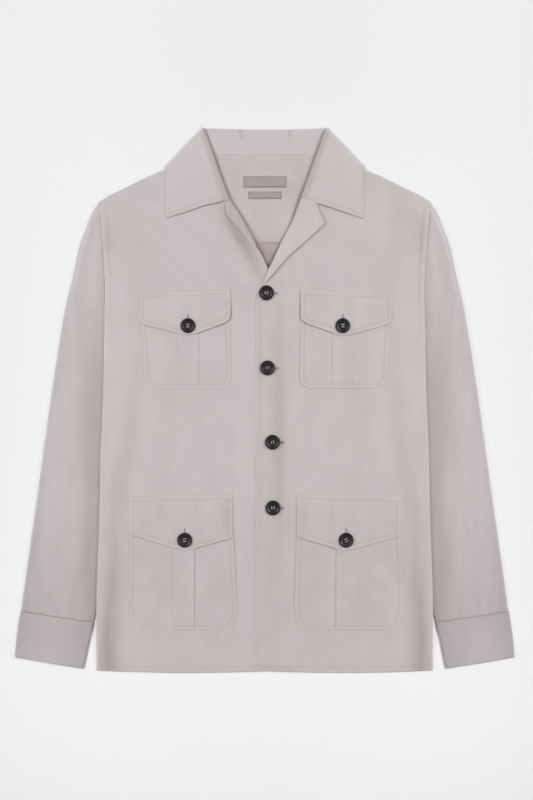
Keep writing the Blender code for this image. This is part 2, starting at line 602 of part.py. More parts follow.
def material(name, colour, rough):
    made = bpy.data.materials.new(name)
    made.use_nodes = True
    shader = made.node_tree.nodes["Principled BSDF"]
    shader.inputs["Base Color"].default_value = colour
    shader.inputs["Roughness"].default_value = rough
    return made


def build():
    for thing in list(bpy.data.objects):
        bpy.data.objects.remove(thing, do_unlink=True)
    cloth = material("cloth", CLOTH_COLOUR, 0.9)
    inside = material("inside", INSIDE_COLOUR, 0.9)
    horn = material("horn", BUTTON_COLOUR, 0.45)
    fabric = material("label", LABEL_COLOUR, 0.9)
    build_back(cloth, inside)
    grids = {1: build_front("front_left", 1, cloth), -1: build_front("front_right", -1, cloth)}
    build_lapel("lapel_left", LAPEL_LEFT, grids[1], inside)
    build_lapel("lapel_right", LAPEL_RIGHT, grids[-1], inside)
    for name, side in (("left", 1), ("right", -1)):
        build_sleeve("sleeve_" + name, side, cloth)
        build_cuff("cuff_" + name, side, cloth)
    build_collar(grids[1], cloth)
    for row in POCKETS:
        grid = grids[1 if row[1] > 0 else -1]
        build_bag(row, grid, cloth)
        build_flap(row, grid, cloth)
        low, high = (row[1], row[3]), (row[2], row[4])

        def flap_top(x, y):
            top = np.interp(x, [low[0], high[0]], [low[1], high[1]])
            return flap_heights(row, grid, x, y, top) + CLOTH

        build_button("button_" + row[0], row[15], row[16], seat_on(flap_top, row[15], row[16]), horn)
    for count, (x, y) in enumerate(FRONT_BUTTONS, 1):
        seat = seat_on(lambda px, py: panel_height(grids[1], px, py) + CLOTH / 2, x, y)
        build_button(f"button_front_{count}", x, y, seat, horn)
    build_labels(fabric)


build()
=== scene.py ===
import bpy
import numpy as np
from mathutils import Matrix, Vector
from mathutils.bvhtree import BVHTree


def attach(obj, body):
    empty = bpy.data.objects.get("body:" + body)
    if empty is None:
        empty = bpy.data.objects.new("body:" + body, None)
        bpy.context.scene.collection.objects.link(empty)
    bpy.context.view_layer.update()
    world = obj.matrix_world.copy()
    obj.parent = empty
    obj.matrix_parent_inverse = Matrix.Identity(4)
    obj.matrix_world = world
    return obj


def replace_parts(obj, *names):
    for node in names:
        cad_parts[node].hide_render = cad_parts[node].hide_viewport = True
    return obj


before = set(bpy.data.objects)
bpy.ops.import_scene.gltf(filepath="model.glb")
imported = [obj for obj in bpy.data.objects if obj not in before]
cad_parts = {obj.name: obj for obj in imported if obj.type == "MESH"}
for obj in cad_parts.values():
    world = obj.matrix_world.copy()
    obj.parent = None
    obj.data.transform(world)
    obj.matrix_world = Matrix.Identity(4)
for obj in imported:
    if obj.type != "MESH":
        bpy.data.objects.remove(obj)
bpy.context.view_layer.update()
print("frame loaded:", len(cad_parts), "solids")

mm = 0.001  # every size below is in millimetres, +X the wearer's left, +Y from hem to collar

jacket = {
    "wall": 1.3, "yokeWall": 2.2, "collarWall": 1.6, "cuffWall": 2.0, "labelWall": 0.8,
    "seam": 0.3, "lay": 0.45,
    "sleeveFlat": 3.0, "sleeveFull": 9.0,
    "sideTurn": 2.4, "turnIn": 0.8, "lapelTurn": 1.0, "collarTurn": 1.15, "cuffTurn": 1.15,
    "cuffRise": 2.6, "cuffLong": 65.0,
    "edgeStitch": 6.6, "hemStitch": 7.0, "armStitch": 8.0, "lapelStitch": 5.5, "cuffStitch": 8.5,
    "hemY": -379.0, "hemSag": 2.8, "underlap": 24.0, "yokeSeam": 220.0, "neckY": 341.9,
    "slack": 2.1, "rimRise": 0.9, "rollRise": 3.0, "rollExtra": 1.8,
}

# outer edge of the body, then the side carried up past the shoulder: y, distance from the middle
bodyEdge = [
    (-379.0, 235.3), (-297.0, 235.0), (-225.0, 233.0), (-150.0, 230.3), (-75.0, 229.0), (-27.0, 227.0),
    (27.0, 225.0), (88.0, 224.0), (150.0, 223.3), (217.0, 226.0), (252.0, 228.6), (266.0, 230.6),
    (273.5, 233.6), (283.0, 222.6), (294.0, 201.5), (305.0, 179.0), (316.0, 156.0), (322.0, 140.0),
    (335.0, 113.0), (347.0, 89.0),
]
sideLine = [(-379.0, 235.3), (-225.0, 233.0), (-75.0, 229.0), (27.0, 225.0), (150.0, 223.3), (266.0, 229.8)]
# inner edge of each front: y, x
leftEdge = [
    (-379.0, -16.4), (-196.0, -14.3), (-56.0, -13.6), (46.0, -12.5), (140.0, -12.0), (152.0, -9.0),
    (166.0, -1.5), (182.0, 5.3), (200.0, 14.5), (220.0, 23.0), (248.0, 38.5), (277.5, 50.5),
    (281.0, 60.3), (300.0, 67.6), (320.0, 75.4), (340.0, 83.2), (347.0, 86.0),
]
rightEdge = [
    (-379.0, 24.0), (120.0, 24.0), (150.0, 20.0), (166.0, 13.0), (182.0, 5.3), (199.0, -3.0),
    (220.0, -14.0), (241.0, -26.5), (261.0, -37.0), (277.5, -49.0), (281.0, -60.3), (300.0, -67.6),
    (320.0, -75.4), (340.0, -83.2), (347.0, -86.0),
]
# where the sleeve's hidden edge runs under the body: y, distance from the middle
hiddenEdge = [
    (-311.0, 241.5), (-242.0, 219.0), (-146.0, 193.0), (-44.0, 168.0), (32.0, 153.0), (74.0, 150.0),
    (100.0, 152.0), (113.0, 164.0), (134.0, 180.0), (175.0, 200.0), (217.0, 213.0), (266.0, 222.0),
]
# broad folds that the solids have too: start x, start y, end x, end y, half width, height
broadFolds = [
    (-30.0, 40.0, -46.0, -120.0, 26.0, -0.9), (60.0, 20.0, 52.0, -110.0, 28.0, -0.6),
    (-110.0, -20.0, -116.0, -110.0, 40.0, 0.8), (110.0, -20.0, 116.0, -110.0, 40.0, 0.8),
    (-196.0, 190.0, -200.0, 20.0, 20.0, -0.7), (196.0, 190.0, 200.0, 20.0, 20.0, -0.7),
    (-64.0, 240.0, -22.0, 176.0, 17.0, -1.2),
]
# smaller creases of the fronts, the same columns
frontCreases = [
    (-219.0, 266.0, -211.0, 186.0, 9.0, -1.4), (219.0, 266.0, 211.0, 182.0, 9.0, -1.4),  # beside the armholes
    (-187.0, 282.0, -150.0, 166.0, 14.0, -0.9), (188.0, 284.0, 146.0, 162.0, 15.0, -0.9),  # from shoulders
    (-166.0, 262.0, -136.0, 170.0, 15.0, 0.5), (166.0, 262.0, 132.0, 168.0, 15.0, 0.5),
    (-192.0, 196.0, -186.0, 60.0, 10.0, 0.9), (190.0, 200.0, 187.0, 70.0, 10.0, 0.9),
    (-74.0, 236.0, -92.0, 168.0, 11.0, 0.7), (86.0, 230.0, 96.0, 170.0, 12.0, 0.7),
    (-62.0, 262.0, -12.0, 178.0, 10.0, -1.6), (-76.0, 246.0, -30.0, 168.0, 13.0, 0.7),  # by the right lapel
    (27.0, 138.0, 27.0, -30.0, 8.0, -1.3), (27.0, -34.0, 28.0, -142.0, 9.0, -1.2),  # beside the buttons
    (6.0, 120.0, 7.0, -120.0, 9.0, 0.7), (46.0, 26.0, 38.0, -116.0, 10.0, 0.7),
    (-15.0, 42.0, -42.0, -98.0, 10.0, -1.3), (-36.0, 0.0, -17.0, -112.0, 8.0, -0.9),
    (-40.0, 40.0, -60.0, -90.0, 13.0, 0.8), (66.0, 16.0, 78.0, -80.0, 12.0, 0.6),
    (56.0, -4.0, 60.0, -100.0, 9.0, -0.6),
    (-209.0, -60.0, -204.0, -250.0, 11.0, -1.1), (209.0, -50.0, 205.0, -256.0, 11.0, -1.1),
    (-214.0, -276.0, -216.0, -379.0, 9.0, -1.6), (213.0, -270.0, 217.0, -379.0, 9.0, -1.6),  # hem corners
    (-160.0, -328.0, -176.0, -372.0, 12.0, 0.7), (120.0, -332.0, 134.0, -376.0, 14.0, 0.7),
    (-84.0, -330.0, -92.0, -376.0, 13.0, -0.7), (70.0, -334.0, 62.0, -376.0, 13.0, -0.7),
    (-60.0, 8.0, -84.0, -30.0, 12.0, -0.7), (150.0, 6.0, 168.0, -60.0, 15.0, -0.7),
    (-178.0, -20.0, -166.0, -122.0, 14.0, -0.8), (-150.0, 0.0, -140.0, -120.0, 15.0, 0.6),
    (176.0, -30.0, 168.0, -124.0, 14.0, -0.8), (144.0, -4.0, 138.0, -118.0, 15.0, 0.5),
    (92.0, 0.0, 100.0, -110.0, 13.0, -0.6),
]
# painted shade where folds show warmer and darker, the same columns with a share of the fold tone
frontShadeTints = [
    (-64.0, 274.0, 0.0, 163.0, 8.5, 0.56),  # along the right front's roll
    (-217.0, 268.0, -212.0, 190.0, 14.0, 0.26), (217.0, 268.0, 212.0, 190.0, 14.0, 0.26),
    (19.5, 128.0, 20.5, -206.0, 10.0, 0.36), (-18.0, 60.0, -44.0, -98.0, 9.0, 0.15),
    (-187.0, 282.0, -146.0, 166.0, 12.0, 0.06), (188.0, 284.0, 140.0, 162.0, 12.0, 0.06),
    (-181.0, 14.0, -212.0, -262.0, 12.0, 0.20), (181.0, 14.0, 212.0, -262.0, 12.0, 0.18),
    (-214.0, -220.0, -216.0, -440.0, 14.0, 0.38), (214.0, -220.0, 216.0, -440.0, 14.0, 0.36),
    (-219.0, -326.0, -219.0, -424.0, 13.0, 0.44), (219.0, -326.0, 219.0, -424.0, 13.0, 0.44),
    (12.0, 150.0, 12.0, -440.0, 15.0, 0.06), (-12.8, 150.0, -16.0, -440.0, 1.8, 0.26),  # the front edge
    (-228.0, 30.0, -232.0, -250.0, 8.0, 0.18), (228.0, 30.0, 232.0, -250.0, 8.0, 0.18),
    (74.0, 272.5, 86.8, 248.5, 2.2, 0.5),  # beside the left lapel's notch
]


def ramp(start, end, value):
    share = np.clip((np.asarray(value, float) - start) / (end - start), 0.0, 1.0)
    return share * share * (3.0 - 2.0 * share)


def bell(away, width):
    return np.exp(-((away / width) ** 2))


def curve(table, value):  # a smooth line through a table's rows that never overshoots them
    rows = np.array(table, float)
    xs, ys = rows[:, 0], rows[:, 1]
    step = np.diff(xs)
    slope = np.diff(ys) / step
    same = slope[:-1] * slope[1:] > 0.0
    first, second = 2.0 * step[1:] + step[:-1], step[1:] + 2.0 * step[:-1]
    tangent = np.zeros(len(xs))
    safe = np.where(same, slope[:-1], 1.0), np.where(same, slope[1:], 1.0)
    tangent[1:-1] = np.where(same, (first + second) / (first / safe[0] + second / safe[1]), 0.0)
    tangent[0], tangent[-1] = slope[0], slope[-1]
    value = np.clip(value, xs[0], xs[-1])
    k = np.clip(np.searchsorted(xs, value, side="right") - 1, 0, len(xs) - 2)
    t = (value - xs[k]) / step[k]
    u = 1.0 - t
    return (ys[k] * (1.0 + 2.0 * t) * u * u + tangent[k] * step[k] * t * u * u
            + ys[k + 1] * t * t * (3.0 - 2.0 * t) - tangent[k + 1] * step[k] * t * t * u)


def straight(table, value):
    rows = np.array(table, float)
    return np.interp(value, rows[:, 0], rows[:, 1])


def creased(x, y, rows):  # soft troughs and ridges that fade towards their ends
    total = np.zeros(np.broadcast(x, y).shape)
    for x0, y0, x1, y1, width, height in rows:
        run = np.array([x1 - x0, y1 - y0])
        share = np.clip(((x - x0) * run[0] + (y - y0) * run[1]) / (run @ run), 0.0, 1.0)
        away = np.hypot(x - x0 - share * run[0], y - y0 - share * run[1])
        total = total + height * (1.0 - 0.75 * (2.0 * share - 1.0) ** 2) * bell(away, width)
    return total


def ripple(x, y):  # faint unevenness, mostly up and down the cloth
    slow = 0.13 * np.sin(x / 6.1 + 1.1 * np.sin(y / 57.0))
    slow = slow + 0.24 * np.sin(x / 11.7 + 0.8 * np.sin(y / 83.0) + 1.9)
    return slow * (0.6 + 0.4 * np.sin(y / 71.0 + x / 90.0)) + 0.02 * np.sin((0.35 * x + y) / 13.0 + 0.6)


def sleeveLift(x, y):  # how far the back is held off the floor
    hidden = curve(hiddenEdge, y)
    arm = (jacket["sleeveFlat"] + jacket["lay"]) * ramp(hidden - 50.0, hidden - 6.0, np.abs(x))
    arm = arm * ramp(-345.0, -305.0, y)
    return np.maximum(arm, (jacket["collarWall"] + jacket["lay"]) * ramp(284.0, 309.0, y))


def backTop(x, y):
    seam, thicker = jacket["yokeSeam"], jacket["yokeWall"] - jacket["wall"]
    return sleeveLift(x, y) + jacket["wall"] + thicker * ramp(seam - 120.0, seam, y)


def frontSlack(x, y):  # how far a front stands off the back
    toSide = curve(sideLine, y) - np.abs(x)
    low = 1.0 - ramp(225.0, 262.0, y)
    wide = ramp(-160.0, 20.0, y)  # the side's ridge and trough move apart towards the armhole
    inside = toSide + 5.0 * (1.0 - ramp(-340.0, -220.0, y))
    rim = jacket["rimRise"] * bell(inside - 13.0 - 14.0 * wide, 11.0 + 3.0 * wide) * low
    rim = rim * (1.0 - 0.6 * ramp(60.0, 200.0, y))
    trough = 0.8 + 0.9 * (1.0 - ramp(-330.0, 60.0, y))
    trough = trough * bell(inside - 33.0 - 26.0 * wide, 15.0 + 3.0 * wide) * (1.0 - ramp(60.0, 150.0, y))
    left = x > 0.5 * (curve(leftEdge, y) + curve(rightEdge, y))
    off = np.where(left, x - curve(leftEdge, y), curve(rightEdge, y) - x)
    stand = jacket["rollExtra"] * ramp(196.0, 226.0, y) * (1.0 - ramp(250.0, 277.0, y))
    span = ramp(166.0, 212.0, y) * (1.0 - ramp(279.0, 296.0, y))
    calm = np.where(left, ramp(215.0, 262.0, y), ramp(196.0, 215.0, y))
    calm = 0.4 + 0.6 * calm  # the rolls lie lower at their lower end
    roll = (jacket["rollRise"] * calm + np.where(left, 0.0, stand)) * bell(np.maximum(off, 0.0), 17.0) * span
    sunk = 2.4 * bell(np.maximum(off, 0.0), 14.0) * ramp(194.0, 214.0, y) * (1.0 - ramp(252.0, 276.0, y))
    roll = roll - np.where(left, sunk, 0.0)  # the left front's roll lies close to the back
    shoulder = 1.0 - 0.6 * ramp(268.0, 300.0, y)
    quiet = ramp(0.0, 14.0, off) * ramp(0.0, 9.0, toSide) * (1.0 - ramp(262.0, 285.0, y))
    fine = (creased(x, y, frontCreases) + ripple(x, y)) * quiet
    pressed = 0.25 + 0.75 * ramp(jacket["hemY"], jacket["hemY"] + 41.0, y)  # the hem is pressed flat
    loose = (jacket["slack"] + rim - trough + creased(x, y, broadFolds) + fine) * shoulder * pressed + roll
    return np.where(loose > 0.5, loose, 0.5 * np.exp(np.minimum(loose, 0.5) / 0.5 - 1.0))


def frontMid(x, y, side):  # middle of a front's cloth
    under = jacket["underlap"]
    lap = (jacket["wall"] + jacket["lay"]) * (1.0 - ramp(under + 3.0, under + 24.0, x))
    lap = lap * (1.0 - ramp(196.0, 226.0, y))
    return backTop(x, y) + jacket["lay"] + jacket["wall"] / 2 + frontSlack(x, y) + (lap if side > 0 else 0.0)


def edgeAt(y):  # outer edge of the body and its outward direction, for +X
    x = curve(bodyEdge, y)
    slope = (curve(bodyEdge, y + 4.0) - curve(bodyEdge, y - 4.0)) / 8.0
    return np.array([x, y]), np.array([1.0, -slope]) / np.hypot(1.0, slope)


def fromOutline(x, y, outline):  # distance of each point to a line of points
    ends = np.array(outline, float)
    best = np.full(np.shape(x), 1e9)
    for (ax, ay), (bx, by) in zip(ends[:-1], ends[1:]):
        run = np.array([bx - ax, by - ay])
        share = np.clip(((x - ax) * run[0] + (y - ay) * run[1]) / max(run @ run, 1e-9), 0.0, 1.0)
        best = np.minimum(best, np.hypot(x - ax - share * run[0], y - ay - share * run[1]))
    return best


def sewn(away, inset):  # a pressed groove under the stitching, and the soft lip outside it
    return -0.17 * bell(away - inset, 0.9) + 0.05 * bell(away - inset * 0.5, inset * 0.3)


def spread(*parts):  # (start, end, count) runs joined to one list without doubles
    runs = [np.linspace(start, end, count, endpoint=False) for start, end, count in parts]
    return np.append(np.concatenate(runs), parts[-1][1])


pieces = {}


def runLengths(mid, axis):
    step = np.linalg.norm(np.diff(mid, axis=axis), axis=2)
    zero = np.zeros((1, mid.shape[1]) if axis == 0 else (mid.shape[0], 1))
    return np.cumsum(np.concatenate([zero, step], axis=axis), axis=axis)


def clothMesh(name, upper, lower, material, ring=False, wearLightAndShade=None, paintedShade=0.0):
    rows, cols = upper.shape[:2]
    mid = (upper + lower) / 2
    index = np.arange(rows * cols).reshape(rows, cols)
    nextCol = np.roll(index, -1, axis=1) if ring else index[:, 1:]
    here = index if ring else index[:, :-1]
    quads = np.stack([here[:-1], nextCol[:-1], nextCol[1:], here[1:]], axis=-1).reshape(-1, 4)
    below = quads[:, ::-1] + rows * cols
    if ring:
        loops = [(index[0], mid[0] - mid[1]), (index[-1][::-1], (mid[-1] - mid[-2])[::-1])]
    else:
        out = np.zeros_like(mid)
        out[0] += mid[0] - mid[1]
        out[-1] += mid[-1] - mid[-2]
        out[:, 0] += mid[:, 0] - mid[:, 1]
        out[:, -1] += mid[:, -1] - mid[:, -2]
        around = np.concatenate([index[0, :-1], index[:-1, -1], index[-1, :0:-1], index[:0:-1, 0]])
        loops = [(around, out.reshape(-1, 3)[around])]
    points = [upper.reshape(-1, 3), lower.reshape(-1, 3)]
    faces = [quads, below]
    total = 2 * rows * cols
    owner = [index.ravel(), index.ravel()]
    for loop, out in loops:
        length = np.linalg.norm(out, axis=1, keepdims=True)
        thick = np.linalg.norm(upper.reshape(-1, 3)[loop] - lower.reshape(-1, 3)[loop], axis=1, keepdims=True)
        points.append(mid.reshape(-1, 3)[loop] + out / np.maximum(length, 1e-6) * thick * 0.3)  # rounded rim
        owner.append(loop)
        rim = total + np.arange(len(loop))
        after, afterRim = np.roll(loop, -1), np.roll(rim, -1)
        faces.append(np.stack([after, loop, rim, afterRim], axis=1))
        faces.append(np.stack([afterRim, rim, loop + rows * cols, after + rows * cols], axis=1))
        total += len(loop)
    points, faces, owner = np.concatenate(points), np.concatenate(faces), np.concatenate(owner)
    a, b, c, d = (points[faces[:, k]] for k in range(4))
    if np.einsum("ij,ij->i", a, np.cross(b, c) + np.cross(c, d)).sum() < 0.0:
        faces = faces[:, ::-1]
    mesh = bpy.data.meshes.new(name)
    mesh.from_pydata((points * mm).tolist(), [], faces.tolist())
    mesh.materials.append(material)
    mesh.polygons.foreach_set("use_smooth", np.ones(len(faces), bool))
    # thread directions follow the cloth's own surface
    grain = np.stack([runLengths(mid, 1) + mid[:, :1, 0], runLengths(mid, 0) + mid[:1, :, 1]], axis=-1)
    threads = mesh.uv_layers.new(name="threads")
    corner = np.zeros(len(mesh.loops), np.int32)
    mesh.loops.foreach_get("vertex_index", corner)
    threads.data.foreach_set("uv", (grain.reshape(-1, 2)[owner][corner] * mm).astype(np.float32).ravel())
    # a value at each point: above zero the cloth is painted paler, for rubbed edges and, on the collar's
    # leaf, painted light; below zero it is painted shade
    wornAndShaded = np.zeros(rows * cols) if wearLightAndShade is None else np.asarray(wearLightAndShade, float).ravel()
    mesh.attributes.new("wearLightAndShade", "FLOAT", "POINT").data.foreach_set("value", wornAndShaded[owner].astype(np.float32))
    low = 0.055 * (1.0 - ramp(-220.0, -60.0, mid[..., 1])) - 0.025 * (1.0 - ramp(-360.0, -315.0, mid[..., 1]))
    dull = (paintedShade + low).ravel()  # painted shade, a little greyer around the hips
    mesh.attributes.new("paintedShade", "FLOAT", "POINT").data.foreach_set("value", dull[owner].astype(np.float32))
    piece = bpy.data.objects.new(name, mesh)
    bpy.context.scene.collection.objects.link(piece)
    pieces[name] = piece
    return piece


def wallNormals(mid, ring):
    if ring:
        mid = np.concatenate([mid[:, -1:], mid, mid[:, :1]], axis=1)
    normal = np.cross(np.gradient(mid, axis=0), np.gradient(mid, axis=1))
    normal = normal / np.maximum(np.linalg.norm(normal, axis=2, keepdims=True), 1e-9)
    return normal[:, 1:-1] if ring else normal


def clothWall(name, mid, thick, material, ring=False, wearLightAndShade=None, paintedShade=0.0):
    offset = wallNormals(mid, ring) * np.asarray(thick)[..., None] / 2
    return clothMesh(name, mid + offset, mid - offset, material, ring, wearLightAndShade, paintedShade)


class Wire:  # a value socket that takes part in plain maths
    def __init__(self, net, socket):
        self.net, self.socket = net, socket

    def maths(self, kind, a, b=0.0):
        return self.net.node("ShaderNodeMath", {"operation": kind}, {0: a, 1: b})[0]

    def __add__(self, other):
        return self.maths("ADD", self, other)

    def __sub__(self, other):
        return self.maths("SUBTRACT", self, other)

    def __rsub__(self, other):
        return self.maths("SUBTRACT", other, self)

    def __mul__(self, other):
        return self.maths("MULTIPLY", self, other)

    def __lt__(self, other):
        return self.maths("LESS_THAN", self, other)

    def __gt__(self, other):
        return self.maths("GREATER_THAN", self, other)

    __radd__, __rmul__ = __add__, __mul__

    def wave(self):
        return self.maths("SINE", self)

    def cut(self):  # nothing below zero
        return self.maths("MAXIMUM", self)

    def most(self, other):
        return self.maths("MINIMUM", self, other)


class Net:  # the nodes of one material
    def __init__(self, name):
        self.material = bpy.data.materials.new(name)
        self.material.use_nodes = True
        self.tree = self.material.node_tree
        self.shader = self.tree.nodes["Principled BSDF"]

    def node(self, kind, settings, sockets):
        made = self.tree.nodes.new(kind)
        for name, value in settings.items():
            setattr(made, name, value)
        for name, value in sockets.items():
            self.feed(made.inputs[name], value)
        return Outputs(self, made)

    def feed(self, socket, value):
        if isinstance(value, Wire):
            self.tree.links.new(value.socket, socket)
        else:
            socket.default_value = value

    def set(self, **values):
        for name, value in values.items():
            self.feed(self.shader.inputs[name.replace("_", " ")], value)

    def place(self):
        return self.node("ShaderNodeTexCoord", {}, {})["Object"]

    def threads(self):
        return self.node("ShaderNodeUVMap", {"uv_map": "threads"}, {})["UV"]

    def painted(self, name):
        return self.node("ShaderNodeAttribute", {"attribute_name": name}, {})["Fac"]

    def noise(self, place, scale, detail, distortion=0.0):
        return self.node("ShaderNodeTexNoise", {}, {
            "Vector": place, "Scale": scale, "Detail": detail, "Distortion": distortion})["Fac"]

    def between(self, value, low, high):
        return self.node("ShaderNodeMapRange", {}, {
            "Value": value, "From Min": low, "From Max": high})["Result"]

    def mix(self, share, first, second):  # a blend of two colours
        first, second = ((*end, 1.0) if isinstance(end, tuple) else end for end in (first, second))
        return self.node("ShaderNodeMix", {"data_type": "RGBA"}, {0: share, 6: first, 7: second})[2]

    def bump(self, strength, distance, height):
        return self.node("ShaderNodeBump", {}, {
            "Strength": strength, "Distance": distance, "Height": height})["Normal"]


class Outputs:
    def __init__(self, net, made):
        self.net, self.made = net, made

    def __getitem__(self, name):
        return Wire(self.net, self.made.outputs[name])


fabric = {
    "threadPitch": 0.00062,  # metres between threads
    "tone": (0.621, 0.559, 0.563), "shade": (0.562, 0.501, 0.504),
    "insideTone": (0.610, 0.545, 0.545), "insideShade": (0.550, 0.487, 0.486),
    "facingTone": (0.640, 0.577, 0.571), "facingShade": (0.594, 0.534, 0.528),
    # the fold and greying colours below are painted shade; the fleck is the cloth's own neps
    "fleck": (0.30, 0.23, 0.20), "fold": (0.42, 0.335, 0.305), "dull": (0.02, 0.02, 0.02), "roughness": 0.88,
}


def clothMaterial(name, tone, shade):
    net = Net(name)
    flat = net.threads()
    uv = net.node("ShaderNodeSeparateXYZ", {}, {0: flat})
    u, v = uv["X"], uv["Y"]
    turn = np.pi / fabric["threadPitch"]
    weave = (u * turn).wave() * (v * turn).wave()

    def grainy(across, along, detail):
        stretched = net.node("ShaderNodeCombineXYZ", {}, {"X": u * across, "Y": v * along})["Vector"]
        return net.noise(stretched, 1.0, detail)

    warpSlub, weftSlub = grainy(1300.0, 42.0, 2.0), grainy(48.0, 1100.0, 2.0)
    cloudy = grainy(34.0, 22.0, 3.0)
    cells = net.node("ShaderNodeTexVoronoi", {}, {"Vector": flat, "Scale": 46.0, "Randomness": 1.0})
    chance = net.node("ShaderNodeSeparateColor", {}, {0: cells["Color"]})["Red"]
    nep = (cells["Distance"] < 0.045) * (chance > 0.72)
    tint = net.between(warpSlub * 0.55 + weftSlub * 0.3 + cloudy * 0.75, 0.55, 1.05)
    wearLightAndShade = net.painted("wearLightAndShade")
    colour = net.mix(tint, shade, tone)
    colour = net.mix(wearLightAndShade.cut() * 0.5, colour, tone)  # paler along rubbed edges, and painted light on the collar's leaf
    colour = net.mix((wearLightAndShade * -1.0).cut(), colour, fabric["fold"])  # painted shade, warmer and darker down in the folds
    # painted shade: each piece's points darken the cloth towards a neutral grey
    colour = net.mix(net.painted("paintedShade"), colour, fabric["dull"])
    colour = net.mix(nep * 0.22, colour, fabric["fleck"])
    height = weave * 0.5 + warpSlub * 0.9 + weftSlub * 0.6
    net.set(Base_Color=colour, Roughness=fabric["roughness"] + tint * 0.06,
            Normal=net.bump(0.35, 0.00022, height),
            Sheen_Weight=0.12, Sheen_Roughness=0.5, Specular_IOR_Level=0.25)
    return net.material


hornLook = {"dark": (0.009, 0.008, 0.008), "light": (0.038, 0.034, 0.037), "roughness": 0.31, "shine": 0.36}


def hornMaterial():
    net = Net("buttonHorn")
    place = net.place()
    cloud, fine = net.noise(place, 210.0, 4.0, 1.2), net.noise(place, 1600.0, 2.0)
    net.set(Base_Color=net.mix(net.between(cloud, 0.42, 0.72), hornLook["dark"], hornLook["light"]),
            Roughness=hornLook["roughness"] + fine * 0.12, Normal=net.bump(0.12, 0.0001, fine),
            Specular_IOR_Level=hornLook["shine"])
    return net.material


threadLooks = {  # colour, contrast
    "sewingThread": ((0.47, 0.40, 0.385), 0.2), "buttonThread": ((0.72, 0.67, 0.65), 0.3),
    "holeThread": ((0.43, 0.37, 0.35), 0.3), "slitShade": ((0.20, 0.165, 0.15), 0.3),
}


def threadMaterial(name, tone, contrast):
    net = Net(name)
    twist = net.noise(net.place(), 900.0, 2.0)
    dark = tuple(value * (1.0 - contrast) for value in tone)
    net.set(Base_Color=net.mix(twist, dark, tone), Roughness=0.72 + twist * 0.1,
            Normal=net.bump(0.3, 0.0001, twist), Sheen_Weight=0.1)
    return net.material


tapeLook = {"dark": (0.345, 0.296, 0.282), "light": (0.51, 0.445, 0.428), "across": 9000.0, "along": 14000.0}


def tapeMaterial():  # the bare neck labels, a closer weave than the cloth
    net = Net("labelTape")
    flat = net.threads()
    uv = net.node("ShaderNodeSeparateXYZ", {}, {0: flat})
    ribs = (uv["X"] * tapeLook["across"]).wave() * 0.5 + (uv["Y"] * tapeLook["along"]).wave() * 0.5
    cloud = net.noise(flat, 260.0, 3.0)
    net.set(Base_Color=net.mix(cloud * 0.8 + ribs * 0.12, tapeLook["dark"], tapeLook["light"]),
            Roughness=0.7 + cloud * 0.15, Normal=net.bump(0.4, 0.00015, ribs), Sheen_Weight=0.15)
    return net.material


clothFace = clothMaterial("cottonFace", fabric["tone"], fabric["shade"])
clothInside = clothMaterial("cottonInside", fabric["insideTone"], fabric["insideShade"])
# a paler, warmer copy of the same cloth, used on the turned lapels
clothFacing = clothMaterial("cottonFacing", fabric["facingTone"], fabric["facingShade"])
horn = hornMaterial()
threads = {name: threadMaterial(name, *look) for name, look in threadLooks.items()}
tape = tapeMaterial()
print("materials made")


yokeCreases = [(-30.0, 268.0, -14.0, 228.0, 9.0, 0.25), (26.0, 262.0, 12.0, 226.0, 9.0, 0.2)]


def backPieces():
    def rowsOf(ys, thick):
        rows = []
        for y in ys:
            edge, out = edgeAt(y)
            tip = edge - out * (jacket["sideTurn"] + jacket["turnIn"] + 2 * jacket["seam"])
            x = tip[0] * spread((-1.0, -0.5, 26), (-0.5, 0.5, 24), (0.5, 1.0, 26))
            rowY = y + (tip[1] - y) * np.abs(x / tip[0]) ** 6
            rows.append(np.stack([x, rowY, sleeveLift(x, np.full(len(x), y)) + thick / 2], axis=1))
        return np.array(rows)

    seam, neckY, up = jacket["yokeSeam"], jacket["neckY"], np.array([0.0, 0.0, 1.0])
    ys = spread((jacket["hemY"] + 1.0, seam - 6.0, 90), (seam - 6.0, seam - jacket["seam"], 5))
    low = rowsOf(ys, jacket["wall"])
    half = up * jacket["wall"] / 2
    shaded = 0.98 - 0.28 * ramp(203.0, 219.0, low[..., 1]) - 0.12 * ramp(-2.0, 14.0, low[..., 0])
    shaded = shaded * ramp(150.0, 190.0, low[..., 1]) * (1.0 - ramp(24.0, 44.0, np.abs(low[..., 0] - 4.0)))
    shaded = np.clip(shaded + 0.4 * bell(low[..., 1] - seam, 1.3), 0.0, 0.95)  # painted shade: darker down in the neck, with a dark line at the yoke seam
    clothMesh("backPanel", low + half, low - half, clothInside, wearLightAndShade=-shaded)
    yoke = rowsOf(spread((seam, seam + 5.0, 5), (seam + 5.0, 337.0, 44)), jacket["yokeWall"])
    last = np.array(yoke[-1])
    wide = last[:, 0] / last[-1, 0]
    neck = np.stack([80.0 * wide, neckY + 4.7 * np.abs(wide) ** 10, last[:, 2]], axis=1)
    steps = [last + (neck - last) * share for share in (0.35, 0.7, 0.92, 1.0)]
    yoke = np.concatenate([yoke, steps])
    half = up * jacket["yokeWall"] / 2
    x, y = yoke[..., 0], yoke[..., 1]
    lipped = -0.35 * bell(y - seam, 1.4) - 0.2 * bell(y - neckY, 2.0)
    # painted shade: a dark line along the yoke seam, and darker just above it
    seamDark = 0.6 * bell(y - seam, 1.5) + 0.25 * (1.0 - ramp(222.0, 236.0, y))
    face = yoke + half
    face[..., 2] += lipped + creased(x, y, yokeCreases)
    clothMesh("backYoke", face, yoke - half, clothInside, wearLightAndShade=-seamDark)


